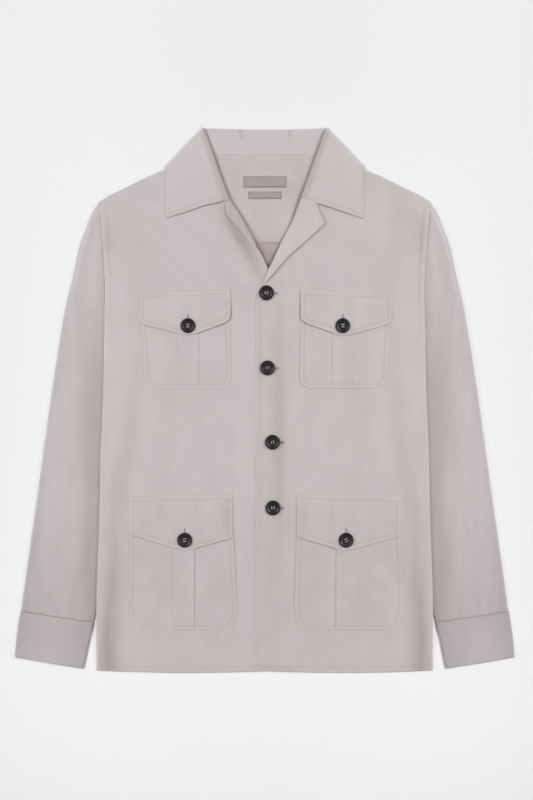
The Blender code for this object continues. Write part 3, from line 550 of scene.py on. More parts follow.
def frontPiece(name, side):
    table, hem = leftEdge if side > 0 else rightEdge, jacket["hemY"]
    ys = spread((hem, hem + 2.0, 4), (hem + 2.0, hem + 13.0, 9), (hem + 13.0, 266.0, 196),
                (266.0, 284.0, 12), (284.0, 345.0, 22))
    near = np.array([0.0, 0.35, 1.2, 2.6, 4.2, 5.4, 6.2, 6.8, 7.5, 8.6, 10.5, 13.0, 16.0])
    far = spread((0.0, 0.86, 64), (0.86, 1.0, 22))[1:]
    turn = np.radians(np.linspace(16.0, 180.0, 12))
    tuck = (jacket["lapelTurn"] + jacket["turnIn"] + jacket["seam"]) * (1.3 if side > 0 else 1.5)
    rows, wearLightAndShade = [], []
    for y in ys:
        edge, out = edgeAt(y)
        radius = jacket["sideTurn"] - 1.1 * float(ramp(110.0, 220.0, y))
        fade = ramp(154.0, 163.0, y) if side > 0 else ramp(208.0, 216.0, y)
        fade = fade * (1.0 - ramp(278.0, 280.0, y))
        start = float(curve(table, y)) + side * tuck * fade
        tip = (edge - out * radius) * [side, 1.0]
        width = abs(tip[0] - start)
        strip = min(16.0, 0.3 * width)
        offset = np.concatenate([near * strip / 16.0, strip + (width - strip) * far])
        x = start + side * offset
        share = offset / width
        sag = jacket["hemSag"] * np.sin(np.pi * share) * (1.0 - ramp(hem, hem + 49.0, y))
        rowY = y + (tip[1] - y) * share ** 4 - sag
        flatY = np.full(len(x), y)
        z = frontMid(x, flatY, side)
        # painted shade in the front's folds; the outermost 2 mm of the edge is paler, rubbed
        deep = np.clip(creased(x, flatY, frontShadeTints), 0.0, 0.75) * ramp(0.0, 8.0, offset)
        if side < 0:  # paler beside the edge that laps over it
            deep = deep - bell(x + 31.0, 13.0) * (1.0 - ramp(90.0, 150.0, y))
        wearLightAndShade.append(np.concatenate([np.where(offset < 2.0, 1.0, -deep), np.zeros(len(turn) + 1)]))
        if side > 0:  # the edge that laps over is pressed down
            lap = sewn(offset, jacket["edgeStitch"]) - 0.9 * (1.0 - ramp(0.0, 4.5, offset))
            z = z + lap * (1.0 - ramp(125.0, 155.0, y))
        z = z + sewn(y - hem, jacket["hemStitch"]) * ramp(0.0, 6.0, width - offset)
        arm = sewn(width + radius - offset, jacket["armStitch"])
        z = z + arm * ramp(100.0, 122.0, y) * (1.0 - ramp(262.0, 272.0, y))
        z = z - (z - 2.0) * (1.0 - ramp(hem, hem + 10.0, y))  # the hem lies down on the floor
        bottom = float(sleeveLift(tip[0], y)) + jacket["wall"] / 2
        half = (z[-1] - bottom) / 2
        away = np.array([side * out[0], out[1]])
        bulge = away * radius * np.sin(turn)[:, None]
        curl = np.column_stack([tip + bulge, bottom + half + half * np.cos(turn)])
        runIn = curl[-1] - [*(away * jacket["turnIn"]), 0.0]
        rows.append(np.concatenate([np.stack([x, rowY, z], axis=1), curl, [runIn]]))
    clothWall(name, np.array(rows), jacket["wall"], clothFace, wearLightAndShade=np.array(wearLightAndShade))


# turned lapels, with one row per section: roll x, roll y, edge x, edge y
# per lapel, shade and turned paint shade on it, and rim a paler rubbed line along its edge
lapels = {
    "lapelLeft": {
        "side": 1, "lift": 0.5, "stand": 0.9, "shade": 0.0, "turned": 0.0, "rim": 0.8,
        "table": [
            (-4.6, 160.4, -2.8, 159.6), (0.2, 169.0, 5.0, 169.0), (5.3, 182.0, 17.0, 183.0),
            (14.5, 200.0, 33.0, 201.0), (23.0, 220.0, 54.0, 219.5), (33.0, 238.0, 72.0, 235.5),
            (38.5, 248.0, 84.4, 248.0), (44.0, 261.0, 78.5, 260.5), (51.4, 281.0, 71.4, 277.6),
        ],
    },
    "lapelRight": {
        "side": -1, "lift": 0.2, "stand": 0.35, "shade": 0.34, "turned": 0.3, "rim": 0.25,
        "table": [
            (-12.4, 216.4, -14.9, 215.4), (-18.0, 226.0, -22.8, 223.6), (-26.5, 241.0, -33.6, 237.6),
            (-33.0, 254.0, -45.6, 251.4), (-37.4, 261.6, -52.4, 258.0), (-41.0, 267.4, -54.4, 264.0),
            (-49.0, 278.6, -54.0, 277.4),
        ],
    },
}


def sectionsOf(table, count):
    rows = np.array(table)
    place = np.unique(np.concatenate([np.linspace(0.0, len(rows) - 1.0, count), np.arange(len(rows))]))
    steps = np.arange(len(rows))
    return np.stack([np.interp(place, steps, column) for column in rows.T], axis=1), place


def lapelPiece(name, side, lift, stand, shade, turned, rim, table):
    rows, wornAndShaded = [], []
    turn = jacket["lapelTurn"]
    shares = spread((0.0, 0.7, 9), (0.7, 0.96, 9), (0.96, 1.0, 3))
    for (rollX, rollY, edgeX, edgeY), place in zip(*sectionsOf(table, 64)):
        tail = float(ramp(-0.15, 1.3, place))  # the lapel runs out into the front at its lower end
        roll = np.array([rollX, rollY])
        run = np.array([edgeX, edgeY]) - roll
        length = np.hypot(run[0], run[1])
        run = run / length
        start = roll + run * turn
        base = float(frontMid(start[0] + side * 1.2, start[1], side))
        row = [[*(start + run * jacket["turnIn"]), base]]
        for angle in np.radians(np.linspace(180.0, 18.0, 10)):
            spot = start - run * turn * np.sin(angle)
            row.append([*spot, base + turn * (1.0 + np.cos(angle)) * max(tail, 0.15)])
        fromRoll, fromEdge = (length - turn) * shares, (length - turn) * (1.0 - shares)
        spots = start + run * (length - turn) * shares[:, None]
        rest = frontMid(spots[:, 0], spots[:, 1], side) + 0.25 + (jacket["wall"] + jacket["lay"]) * tail
        crown = base + 2 * turn * tail
        top = rest + np.maximum(crown - rest, 0.0) * bell(fromRoll, 5.0)
        top = top + lift * np.sin(np.pi * shares) + sewn(fromEdge, jacket["lapelStitch"])
        top = top + stand * ramp(0.55, 1.0, shares) * tail
        # a paler rubbed rim, a painted shadow line at the very edge, and painted shade on the roll and over
        # the lapel as set
        paleRim = rim * ramp(0.6, 1.4, fromEdge) * (1.0 - ramp(1.4, 3.0, fromEdge))
        edge = (paleRim - 0.7 * (1.0 - ramp(0.2, 1.2, fromEdge))) * float(ramp(0.0, 3.0, place))
        rolled = turned * (1.0 - ramp(0.0, 5.0, fromRoll))
        tone = edge - rolled - shade * ramp(1.5, 3.0, fromEdge)
        wornAndShaded.append(np.concatenate([np.full(len(row), -turned), tone]))
        rows.append(row + np.column_stack([spots, top]).tolist())
    clothWall(name, np.array(rows), jacket["wall"], clothFacing, wearLightAndShade=np.array(wornAndShaded))


backPieces()
frontPiece("frontRight", -1)
frontPiece("frontLeft", 1)
for name, values in lapels.items():
    lapelPiece(name, **values)
print("body panels made")

# sleeve sections, shoulder to cuff: outer x, outer y, inner x, inner y, bow, height share at the outer edge
sleeveRows = [
    (232.0, 275.0, 152.0, 100.0, 1.0, 0.25), (240.6, 263.5, 151.0, 88.0, 14.0, 0.50),
    (250.8, 238.0, 150.0, 74.0, 13.0, 0.48), (258.7, 217.0, 150.0, 58.0, 11.0, 0.44),
    (268.0, 175.0, 153.0, 32.0, 8.0, 0.46), (278.0, 133.0, 158.0, 2.0, 5.0, 0.50),
    (289.0, 70.0, 168.0, -44.0, 3.0, 0.55), (299.0, 4.0, 180.0, -94.0, 0.0, 0.57),
    (309.5, -70.0, 193.0, -146.0, 0.0, 0.57), (319.0, -140.0, 206.0, -196.0, 0.0, 0.56),
    (328.5, -205.0, 219.0, -242.0, 0.0, 0.52), (336.0, -260.0, 231.5, -283.0, 0.0, 0.42),
    (339.5, -285.0, 238.5, -302.0, 0.0, 0.34), (341.0, -296.0, 241.5, -311.0, 0.0, 0.28),
]
cuffRows = [
    (341.6, -296.4, 241.0, -311.4), (344.0, -310.0, 244.5, -325.0), (347.0, -332.0, 249.5, -347.5),
    (349.6, -360.0, 255.6, -375.5),
]
# creases of the sleeves and cuffs, for +X and -X: start x, start y, end x, end y, half width, height
sleeveCreases = {
    1: [(242.0, -186.0, 258.0, -262.0, 9.0, -0.9), (331.0, -281.0, 329.0, -298.0, 4.0, -0.7),
        (314.0, -278.0, 312.0, -299.0, 4.0, -0.8), (296.0, -262.0, 290.0, -290.0, 6.0, -0.7),
        (305.0, -276.0, 304.0, -296.0, 4.0, 0.5), (268.0, -280.0, 272.0, -302.0, 5.0, -0.6),
        (262.0, 120.0, 278.0, 20.0, 12.0, -0.5), (292.0, -60.0, 300.0, -170.0, 13.0, 0.5),
        (262.0, -40.0, 276.0, -150.0, 12.0, -0.6), (251.0, 214.0, 259.0, 150.0, 8.0, 0.5)],
    -1: [(-240.0, -190.0, -259.0, -268.0, 9.0, -0.9), (-331.0, -283.0, -332.0, -298.0, 4.0, -0.8),
         (-313.0, -280.0, -312.0, -300.0, 4.0, -0.7), (-294.0, -264.0, -299.0, -288.0, 6.0, -0.8),
         (-322.0, -276.0, -322.0, -297.0, 4.0, 0.5), (-270.0, -282.0, -268.0, -302.0, 5.0, -0.5),
         (-264.0, 110.0, -276.0, 24.0, 12.0, -0.5), (-290.0, -50.0, -302.0, -168.0, 13.0, 0.5),
         (-260.0, -44.0, -274.0, -146.0, 12.0, -0.6), (-250.0, 216.0, -258.0, 154.0, 8.0, 0.5)],
}
cuffCreases = {
    1: [(276.0, -312.0, 281.0, -362.0, 7.0, -0.5), (305.0, -308.0, 309.0, -362.0, 9.0, 0.4),
        (329.0, -304.0, 333.0, -356.0, 7.0, -0.5), (262.0, -316.0, 268.0, -366.0, 6.0, 0.3)],
    -1: [(-274.0, -314.0, -280.0, -362.0, 7.0, -0.5), (-302.0, -310.0, -309.0, -362.0, 9.0, 0.4),
         (-327.0, -304.0, -334.0, -356.0, 7.0, -0.5), (-258.0, -318.0, -264.0, -366.0, 6.0, 0.3)],
}


tubeTurn = np.radians(np.linspace(15.0, 165.0, 9))  # round the folded sides of sleeves and cuffs


def tubeRing(spots, height, run, ends, turns, base):  # upper face, outer fold, under face, inner fold
    (start, end), (inner, outer) = ends, turns
    swing, lean = np.sin(tubeTurn)[:, None], np.cos(tubeTurn)
    upper = np.column_stack([spots, base + height])
    over = np.column_stack([end + run * outer * swing, base + outer + outer * lean])
    lower = np.column_stack([spots[::-2], np.full(len(spots[::-2]), base)])
    back = np.column_stack([start - run * inner * swing, base + inner - inner * lean])
    return np.concatenate([upper, over, lower, back])


def sleevePiece(name, side):
    rows = np.array(sleeveRows)
    length = np.append(0.0, np.cumsum(np.hypot(*np.diff((rows[:, :2] + rows[:, 2:4]) / 2, axis=0).T)))
    places = spread((0.0, length[-1] - 6.0, 150), (length[-1] - 6.0, length[-1], 5))
    columns = [curve(np.stack([length, column], axis=1), places) for column in rows.T]
    across = spread((0.0, 0.5, 16), (0.5, 1.0, 36))
    flatWall, fullWall, base = jacket["sleeveFlat"], jacket["sleeveFull"], jacket["wall"] / 2
    rings, wearLightAndShade, paintedShade = [], [], []
    for place, (outerX, outerY, innerX, innerY, bow, share) in zip(places, np.array(columns).T):
        outer, inner = np.array([outerX, outerY]), np.array([innerX, innerY])
        run = (outer - inner) / np.hypot(*(outer - inner))
        bend = np.array([run[1], -run[0]]) * bow
        flat = (flatWall - jacket["wall"]) / 2
        full = flat + share * (fullWall - flatWall) / 2
        start, end = inner + run * flat, outer - run * full
        spots = start + (end - start) * across[:, None] + bend * (4.0 * across * (1.0 - across))[:, None]
        x, y = spots.T
        toFold, toCuff = np.hypot(*(spots - end).T), length[-1] - place
        beside = x - curve(sideLine, y) - 2.0
        sewnOn = ramp(92.0, 150.0, y)  # the armhole seam, above the armpit
        loose = ramp(-6.0, 34.0 + 11.0 * ramp(-160.0, 0.0, y), beside) * ramp(-8.0, 4.0, beside)
        free = loose * (1.0 - sewnOn) + ramp(-5.2, -0.6, beside) * sewnOn
        cap = 2 * full + (fullWall - flatWall) * ramp(0.0, 1.0, toFold / (50.0 - 36.0 * sewnOn))
        rise = flatWall - jacket["wall"] + (fullWall - flatWall) * free
        height = np.maximum(0.5 * (rise + cap - np.hypot(rise - cap, 1.4 * (1.0 - sewnOn))), 1.7)
        atSeam = 2 * full + jacket["cuffRise"] * np.sin(np.pi * across)
        height = atSeam + (height - atSeam) * ramp(0.0, 46.0, toCuff) ** 0.8
        soft = ramp(2.0, 16.0, beside) * ramp(0.0, 10.0, toFold)
        creaseRelief = creased(side * x, y, sleeveCreases[side]) + ripple(side * x, y)
        height = height + creaseRelief * soft
        height[0], height[-1] = 2 * flat, 2 * full
        rings.append(tubeRing(spots, np.maximum(height, 1.7), run, (start, end), (flat, full), base))
        deep = 26.0 + 22.0 * ramp(-160.0, 0.0, y)  # how far the body's side casts painted shade onto the sleeve
        shaded = 0.48 * (1.0 - ramp(4.0, deep, beside)) * (1.0 - ramp(10.0, 140.0, y))
        # painted shade beside the armhole seam, down in the creases and at the cuff seam
        armpit = ramp(60.0, 130.0, y) * (1.0 - ramp(180.0, 235.0, y))
        shaded = shaded + 0.22 * (1.0 - ramp(0.0, 16.0, beside)) * armpit
        shaded = shaded - 0.14 * np.minimum(creaseRelief, 0.0) * soft + 0.5 * (1.0 - ramp(0.3, 2.0, toCuff))
        under = len(rings[-1]) - len(spots)
        wearLightAndShade.append(np.concatenate([-np.clip(shaded, 0.0, 0.7), np.zeros(under)]))
        dull = 0.012 * (1.0 - ramp(140.0, 240.0, outerY)) - 0.012 * (1.0 - ramp(-120.0, -20.0, outerY))
        dull = dull + 0.085 * (1.0 - ramp(-290.0, -140.0, outerY)) + 0.08  # painted shade, greyer at the outer fold and towards the cuff
        paintedShade.append(np.append(dull - 0.08 * ramp(4.0, 40.0, toFold), np.full(under, dull)))
    clothWall(name, np.array(rings) * [side, 1.0, 1.0], jacket["wall"], clothFace, ring=True,
              wearLightAndShade=np.array(wearLightAndShade), paintedShade=np.array(paintedShade))


def cuffPiece(name, side):
    rows, long = np.array(cuffRows), jacket["cuffLong"]
    places = spread((0.0, 0.1, 4), (0.1, 2.9, 34), (2.9, 3.0, 4))
    columns = [np.interp(places, np.arange(4), column) for column in rows.T]
    across = np.linspace(0.0, 1.0, 44)
    half, base = jacket["cuffTurn"], jacket["cuffWall"] / 2
    rings, paintedShade = [], []
    for place, (outerX, outerY, innerX, innerY) in zip(places, np.array(columns).T):
        outer, inner = np.array([outerX, outerY]), np.array([innerX, innerY])
        run = (outer - inner) / np.hypot(*(outer - inner))
        start, end = inner + run * half, outer - run * half
        spots = start + (end - start) * across[:, None]
        down = place / 3.0 * long  # millimetres below the cuff's seam
        rise = jacket["cuffRise"] * (1.0 - 0.9 * place / 3.0)
        creaseRelief = creased(side * spots[:, 0], spots[:, 1], cuffCreases[side]) * np.sin(np.pi * across)
        creaseRelief = creaseRelief + sewn(down, jacket["cuffStitch"]) + sewn(long - down, 6.0) * 0.6
        height = 2 * half + rise * np.sin(np.pi * across) + creaseRelief
        rings.append(tubeRing(spots, height, run, (start, end), (half, half), base))
        sides = 0.09 + 0.14 * np.abs(2.0 * across - 1.0) ** 1.3  # painted shade, darker towards both folded sides
        # painted shade: darker along the seam to the sleeve and on the underside
        sides = sides + 0.25 * (1.0 - float(ramp(0.2, 1.6, down)))
        paintedShade.append(np.append(sides, np.full(len(rings[-1]) - len(sides), 0.16)))
    clothWall(name, np.array(rings) * [side, 1.0, 1.0], jacket["cuffWall"], clothFace, ring=True,
              paintedShade=np.array(paintedShade))


for name, side in (("Left", 1), ("Right", -1)):
    sleevePiece("sleeve" + name, side)
    cuffPiece("cuff" + name, side)
print("sleeves made")

collar = {
    "leafEnd": [(50.5, 279.3), (63.0, 277.4), (72.2, 274.8), (81.0, 273.4),
                (91.4, 270.2), (100.2, 266.8), (121.0, 259.8), (139.0, 254.0)],
    "leafCorner": (141.0, 325.5), "rollCorner": (88.0, 380.7),
    "neckCorner": (86.0, 351.5), "neckEnd": (58.6, 280.4),
    "rollY": 378.6, "fallY": 313.0, "leafWide": 96.0, "leafLong": 74.0,
    # creases of the stand across the back: x, depth, half width
    "standCreases": [(-34.0, -2.2, 2.6), (34.0, -2.0, 2.8), (-40.0, 1.0, 4.0), (40.0, 0.9, 4.0),
                     (2.0, 0.3, 14.0)],
}


def leafEndAt(share):  # a point of the leaf's front end in plan, for +X
    first, last = collar["leafEnd"][0][0], collar["leafEnd"][-1][0]
    x = first + (last - first) * share
    return np.array([x, float(straight(collar["leafEnd"], x))])


def leafSpot(share, place):  # a point of the whole leaf in plan, for +X
    end = leafEndAt(share)
    corner, fold = np.array(collar["rollCorner"]), np.array(collar["leafCorner"])
    return end + (corner + (fold - corner) * share - end) * place


def collarHalf(sideSign):
    fallRows = spread((0.03, 0.1, 4), (0.1, 0.86, 20), (0.86, 0.985, 12), (0.985, 1.0, 2))
    standRows = np.append(0.06, np.linspace(0.14, 1.0, 10))
    rollEnd, corner = np.array(collar["leafEnd"][0]), np.array(collar["rollCorner"])
    fold, neck = np.array(collar["leafCorner"]), np.array(collar["neckCorner"])
    inward = np.array([corner[1] - fold[1], fold[0] - corner[0]])
    inward = -inward / np.hypot(*inward)
    toNeck, neckEnd = np.array([-0.945, 0.32]), np.array(collar["neckEnd"])
    wall, turnSize = jacket["collarWall"], jacket["collarTurn"]
    low = wall / 2
    rollLow = low + turnSize
    yokeZ = wall + jacket["lay"] + jacket["yokeWall"] / 2
    rollHigh = float(frontMid(54.0, 277.5, 1)) + 2 * jacket["lapelTurn"] - turnSize
    rollY, neckY, fallY = collar["rollY"], jacket["neckY"], collar["fallY"]

    def column(place, angle):
        swing, height = np.cos(angle), np.sin(angle)
        front, back = min(place, 1.0), max(place - 1.0, 0.0)
        up, under = angle > 1.5, angle < -1.5
        rollTop = rollHigh + 1.3 * np.sin(np.pi * front) - 1.4 * front
        cornerTop = rollHigh - 1.4
        behind = ramp(0.9, 1.05, place)
        out = -toNeck * (1.0 - behind) + np.array([0.0, -1.0]) * behind
        out = out / np.hypot(*out)

        def spot(frontSpot, foldSpot, backSpot, top, bottom, radius):
            turned = foldSpot + inward * radius
            if up:
                return np.array([*(frontSpot + (turned - frontSpot) * front), top])
            if under:
                return np.array([*(turned + (backSpot - turned) * back), bottom])
            middle = (top + bottom) / 2 + height * (top - bottom) / 2
            return np.array([*(foldSpot + inward * radius * (1.0 - swing)), middle])

        points = []
        for share in standRows[::-1]:
            end = rollEnd + (neckEnd - rollEnd) * share
            turn = corner + (neck - corner) * share
            seamTop = float(frontMid(neckEnd[0] + 3.0 + 24.0 * front, 281.0 + 64.0 * front, 1))
            top = rollTop - turnSize + (seamTop - rollTop + turnSize) * share
            bottom = rollLow + turnSize + (yokeZ - rollLow - turnSize) * share
            here = spot(end, turn, np.array([0.0, rollY + (neckY - rollY) * share]), top, bottom, 2.0)
            if under:
                wide = here[0] / neck[0]
                here[1] = (rollY + 1.9 * wide ** 2) * (1.0 - share) + (neckY + 9.6 * abs(wide) ** 10) * share
                fade = (1.0 - ramp(0.2, 0.8, share)) * ramp(-0.1, 0.1, share)
                for creaseX, depth, width in collar["standCreases"]:
                    away = sideSign * here[0] - creaseX * (1.0 - 0.12 * share)
                    here[2] += depth * bell(away, width) * fade
                here[2] -= 0.2 * bell((share - 0.9) * 35.0, 1.6)
            points.append(here)
        centre = spot(rollEnd, corner, np.array([0.0, rollY]), rollTop if up else cornerTop, rollLow, 3.2)
        if under:
            centre[1] = rollY + 1.9 * (centre[0] / corner[0]) ** 2
        sideWay, bulge = np.array([*(-inward * swing), height]), np.array([-out[0], -out[1], 0.0])
        for bend in np.radians(np.linspace(-75.0, 75.0, 9)):
            points.append(centre + (sideWay * np.sin(bend) - bulge * (1.0 - np.cos(bend))) * turnSize)
        for share in fallRows:
            end = leafEndAt(share)
            turn = corner + (fold - corner) * share
            lie = end + (turn - end) * front
            rest = float(frontMid(lie[0], lie[1], 1)) + jacket["wall"] / 2 + jacket["lay"] + wall / 2 + 0.1
            start = rollTop if up else cornerTop
            top = rest + max(start + turnSize - rest, 0.0) * (1.0 - share) ** 1.3
            if up:
                fromOuter, fromEnd = (1.0 - share) * collar["leafWide"], front * collar["leafLong"]
                away = min(fromOuter, fromEnd + 200.0 * (share < 0.12))
                top += float(sewn(away, jacket["lapelStitch"]))
                top += 0.5 * np.sin(np.pi * share) * np.sin(np.pi * front)
                top -= 0.6 * (1.0 - ramp(0.0, 7.0, fromEnd))  # the front edge is pressed down
            points.append(spot(end, turn, np.array([0.0, rollY + (fallY - rollY) * share]), top, low, 3.6))
        return points

    frontPlaces = spread((0.0, 0.015, 2), (0.015, 0.14, 12), (0.14, 1.0, 26))
    rolled = np.concatenate([np.zeros(len(standRows)), np.ones(9), (1.0 - ramp(0.0, 0.3, fallRows)) ** 2])
    columns = [column(place, np.pi / 2) for place in frontPlaces]
    columns += [column(1.0, np.radians(angle)) for angle in np.linspace(72.0, -72.0, 9)]
    columns += [column(1.0 + place, -np.pi / 2) for place in np.linspace(0.0, 1.0, 34)]
    shaded = np.zeros((len(columns), len(rolled)))
    shaded[:len(frontPlaces)] = 0.42 * rolled  # painted shade where the leaf turns away from the light at its roll
    thick = np.full(shaded.shape, wall)
    thick[:len(frontPlaces)] -= 0.7 * (1.0 - ramp(0.0, 7.0, frontPlaces * collar["leafLong"]))[:, None]
    return np.array(columns), shaded, thick


def collarPiece():
    (left, leftShade, leftThick), (right, rightShade, rightThick) = collarHalf(1.0), collarHalf(-1.0)
    mid = np.concatenate([left, right[-2::-1] * [-1.0, 1.0, 1.0]])
    shaded = np.concatenate([leftShade, rightShade[-2::-1]])
    aside, drop = np.abs(mid[..., 0]), collar["rollY"] - mid[..., 1]
    off = aside - 35.5 + 0.27 * drop  # painted shade along two short creases that run down from the back's roll
    creaseShade = 0.34 * bell(off, 2.3) + 0.10 * ramp(-2.0, 3.0, off) * (1.0 - ramp(6.0, 34.0, off))
    creaseShade = creaseShade * ramp(-2.0, 1.0, drop) * (1.0 - ramp(9.0, 26.0, drop))
    dark = creaseShade + shaded
    thick = np.concatenate([leftThick, rightThick[-2::-1]])
    # painted light over the rest of the leaf, painted shade on its roll and creases
    clothWall("collarLeaf", mid, thick, clothFace, wearLightAndShade=1.0 - ramp(0.0, 0.3, dark) - dark)


collarPiece()
print("collar made")

# flap, bag, pleat and button of each pocket, with their columns named here
pocketColumns = (
    "left", "right", "topLeft", "topRight", "sideLeft", "sideRight", "tipX", "tipY", "flapCorner",
    "bagLeft", "bagRight", "bottom", "bagCorner", "pleatLeft", "pleatRight", "buttonX", "buttonY",
)
pocketRows = {
    "ChestRight": (-176.0, -48.0, 150.0, 155.0, 107.0, 111.0, -106.0, 89.0, 9.0,
                   -168.0, -46.5, 16.0, 17.0, -122.6, -92.5, -107.4, 104.0),
    "ChestLeft": (50.0, 178.0, 154.0, 148.5, 110.0, 107.0, 111.0, 88.5, 9.0,
                  48.0, 171.0, 16.0, 17.0, 94.5, 124.6, 109.3, 104.0),
    "HipRight": (-190.0, -45.0, -135.5, -131.6, -188.0, -193.0, -112.0, -212.0, 4.0,
                 -192.0, -36.5, -322.0, 30.0, -128.5, -98.3, -112.0, -196.0),
    "HipLeft": (45.0, 191.0, -132.0, -135.5, -192.0, -190.0, 114.0, -212.0, 4.0,
                40.0, 195.0, -322.0, 30.0, 99.8, 130.0, 114.0, -196.0),
}
pockets = {name: dict(zip(pocketColumns, row)) for name, row in pocketRows.items()}
for name, row in pockets.items():
    row["side"], row["kind"] = (1 if row["left"] > 0 else -1), ("Chest" if "Chest" in name else "Hip")
    row["bagTop"] = min(row["topLeft"], row["topRight"]) - 9.0  # under the flap
pocketFit = {
    "wall": 0.65, "pleatRise": 0.7, "foldLip": 0.35, "bagStitch": 6.0, "flapStitch": 5.8, "topStitch": 6.4,
    "innerStand": {"Chest": 0.9, "Hip": 0.3}, "bagRise": 0.7, "clear": 0.2, "lay": 0.2,
    "cornerWide": 16.0, "cornerPower": {"Chest": 2.0, "Hip": 1.55},
}
# creases of the bags: start x, start y, end x, end y, half width, height
bagCreases = {
    "HipRight": [(-186.0, -259.0, -140.0, -238.0, 7.0, 0.9), (-161.0, -294.0, -130.0, -268.0, 7.0, -0.9),
                 (-176.0, -280.0, -128.0, -252.0, 8.0, -0.6), (-86.0, -236.0, -62.0, -262.0, 9.0, 0.6),
                 (-124.0, -306.0, -102.0, -264.0, 6.0, -0.6)],
    "HipLeft": [(187.0, -262.0, 142.0, -238.0, 7.0, 0.9), (160.0, -296.0, 134.0, -268.0, 7.0, -0.9),
                (176.0, -282.0, 134.0, -254.0, 8.0, -0.6), (88.0, -240.0, 62.0, -258.0, 9.0, 0.6),
                (126.0, -304.0, 104.0, -262.0, 6.0, -0.6)],
    "ChestRight": [(-160.0, 60.0, -132.0, 44.0, 8.0, -0.5), (-74.0, 66.0, -66.0, 34.0, 8.0, 0.5)],
    "ChestLeft": [(162.0, 58.0, 134.0, 42.0, 8.0, -0.5), (74.0, 62.0, 68.0, 36.0, 8.0, 0.5)],
}
flapCreases = {
    "HipRight": [(-61.0, -142.0, -60.0, -164.0, 4.0, -0.9), (-142.0, -146.0, -138.0, -172.0, 7.0, -0.4)],
    "HipLeft": [(62.0, -142.0, 62.0, -166.0, 4.0, -0.9), (146.0, -146.0, 142.0, -172.0, 7.0, -0.4)],
    "ChestRight": [(-140.0, 142.0, -150.0, 116.0, 7.0, -0.4)],
    "ChestLeft": [(142.0, 142.0, 152.0, 116.0, 7.0, -0.4)],
}
# painted shade on the hip pockets' bags and flaps, for -X: start x, start y, end x, end y, half width, share
bagShadeTints = [(-184.0, -210.0, -134.0, -226.0, 19.0, 0.13), (-156.0, -304.0, -132.0, -258.0, 11.0, 0.17),
            (-123.0, -310.0, -103.0, -256.0, 9.0, 0.10), (-76.0, -228.0, -58.0, -292.0, 16.0, 0.08)]
flapShadeTints = [(-57.0, -142.0, -57.0, -182.0, 4.2, 0.27), (-96.0, -138.0, -96.0, -166.0, 6.0, 0.12),
             (-147.0, -142.0, -140.0, -176.0, 9.0, 0.11)]


def flapOutline(row, x):  # top and bottom edge of a flap at x
    left, right, tipX, corner = row["left"], row["right"], row["tipX"], row["flapCorner"]
    top = np.interp(x, [left, right], [row["topLeft"], row["topRight"]])
    bottom = np.interp(x, [left, tipX, right], [row["sideLeft"], row["tipY"], row["sideRight"]])
    bottom = bottom + 1.6 * bell(x - tipX, 7.0)  # softly rounded tip
    near = np.clip(1.0 - np.minimum(x - left, right - x) / corner, 0.0, 1.0)
    return top, bottom + corner * (1.0 - np.sqrt(1.0 - near * near))


def bagEdges(row, y):  # left and right edge of a bag at y
    bottom, corner, power = row["bottom"], row["bagCorner"], pocketFit["cornerPower"][row["kind"]]
    rise = (y - bottom) / (row["bagTop"] - bottom)
    left = row["bagLeft"] + (row["left"] + 1.0 - row["bagLeft"]) * rise
    right = row["bagRight"] + (row["right"] - 1.0 - row["bagRight"]) * rise
    cut = np.clip((bottom + corner - y) / corner, 0.0, 1.0)
    inset = pocketFit["cornerWide"] * (1.0 - (1.0 - cut ** power) ** (1.0 / power))
    return left + inset, right - inset


def bagLine(row):  # the bag's outline from its upper left over the bottom to its upper right
    bottom, corner = row["bottom"], row["bagCorner"]
    bend = bottom + corner * (1.0 - np.sin(np.linspace(0.0, np.pi / 2, 12)))
    ys = np.concatenate([np.linspace(row["bagTop"], bottom + corner, 12), bend[1:]])
    left, right = bagEdges(row, ys)
    return np.concatenate([np.stack([left, ys], axis=1), np.stack([right, ys], axis=1)[::-1]])


def bagBase(side, x, y):
    return frontMid(x, y, side) + jacket["wall"] / 2 + pocketFit["clear"]


def seamShadeAndWear(away, inset):  # painted shade as a dark line at the edge and in the stitched groove, paler rubbed cloth between
    pale = ramp(0.5, 1.4, away) * (1.0 - ramp(1.4, 3.6, away))
    return pale - 0.3 * (1.0 - ramp(0.1, 1.0, away)) - 0.18 * bell(away - inset, 1.0)


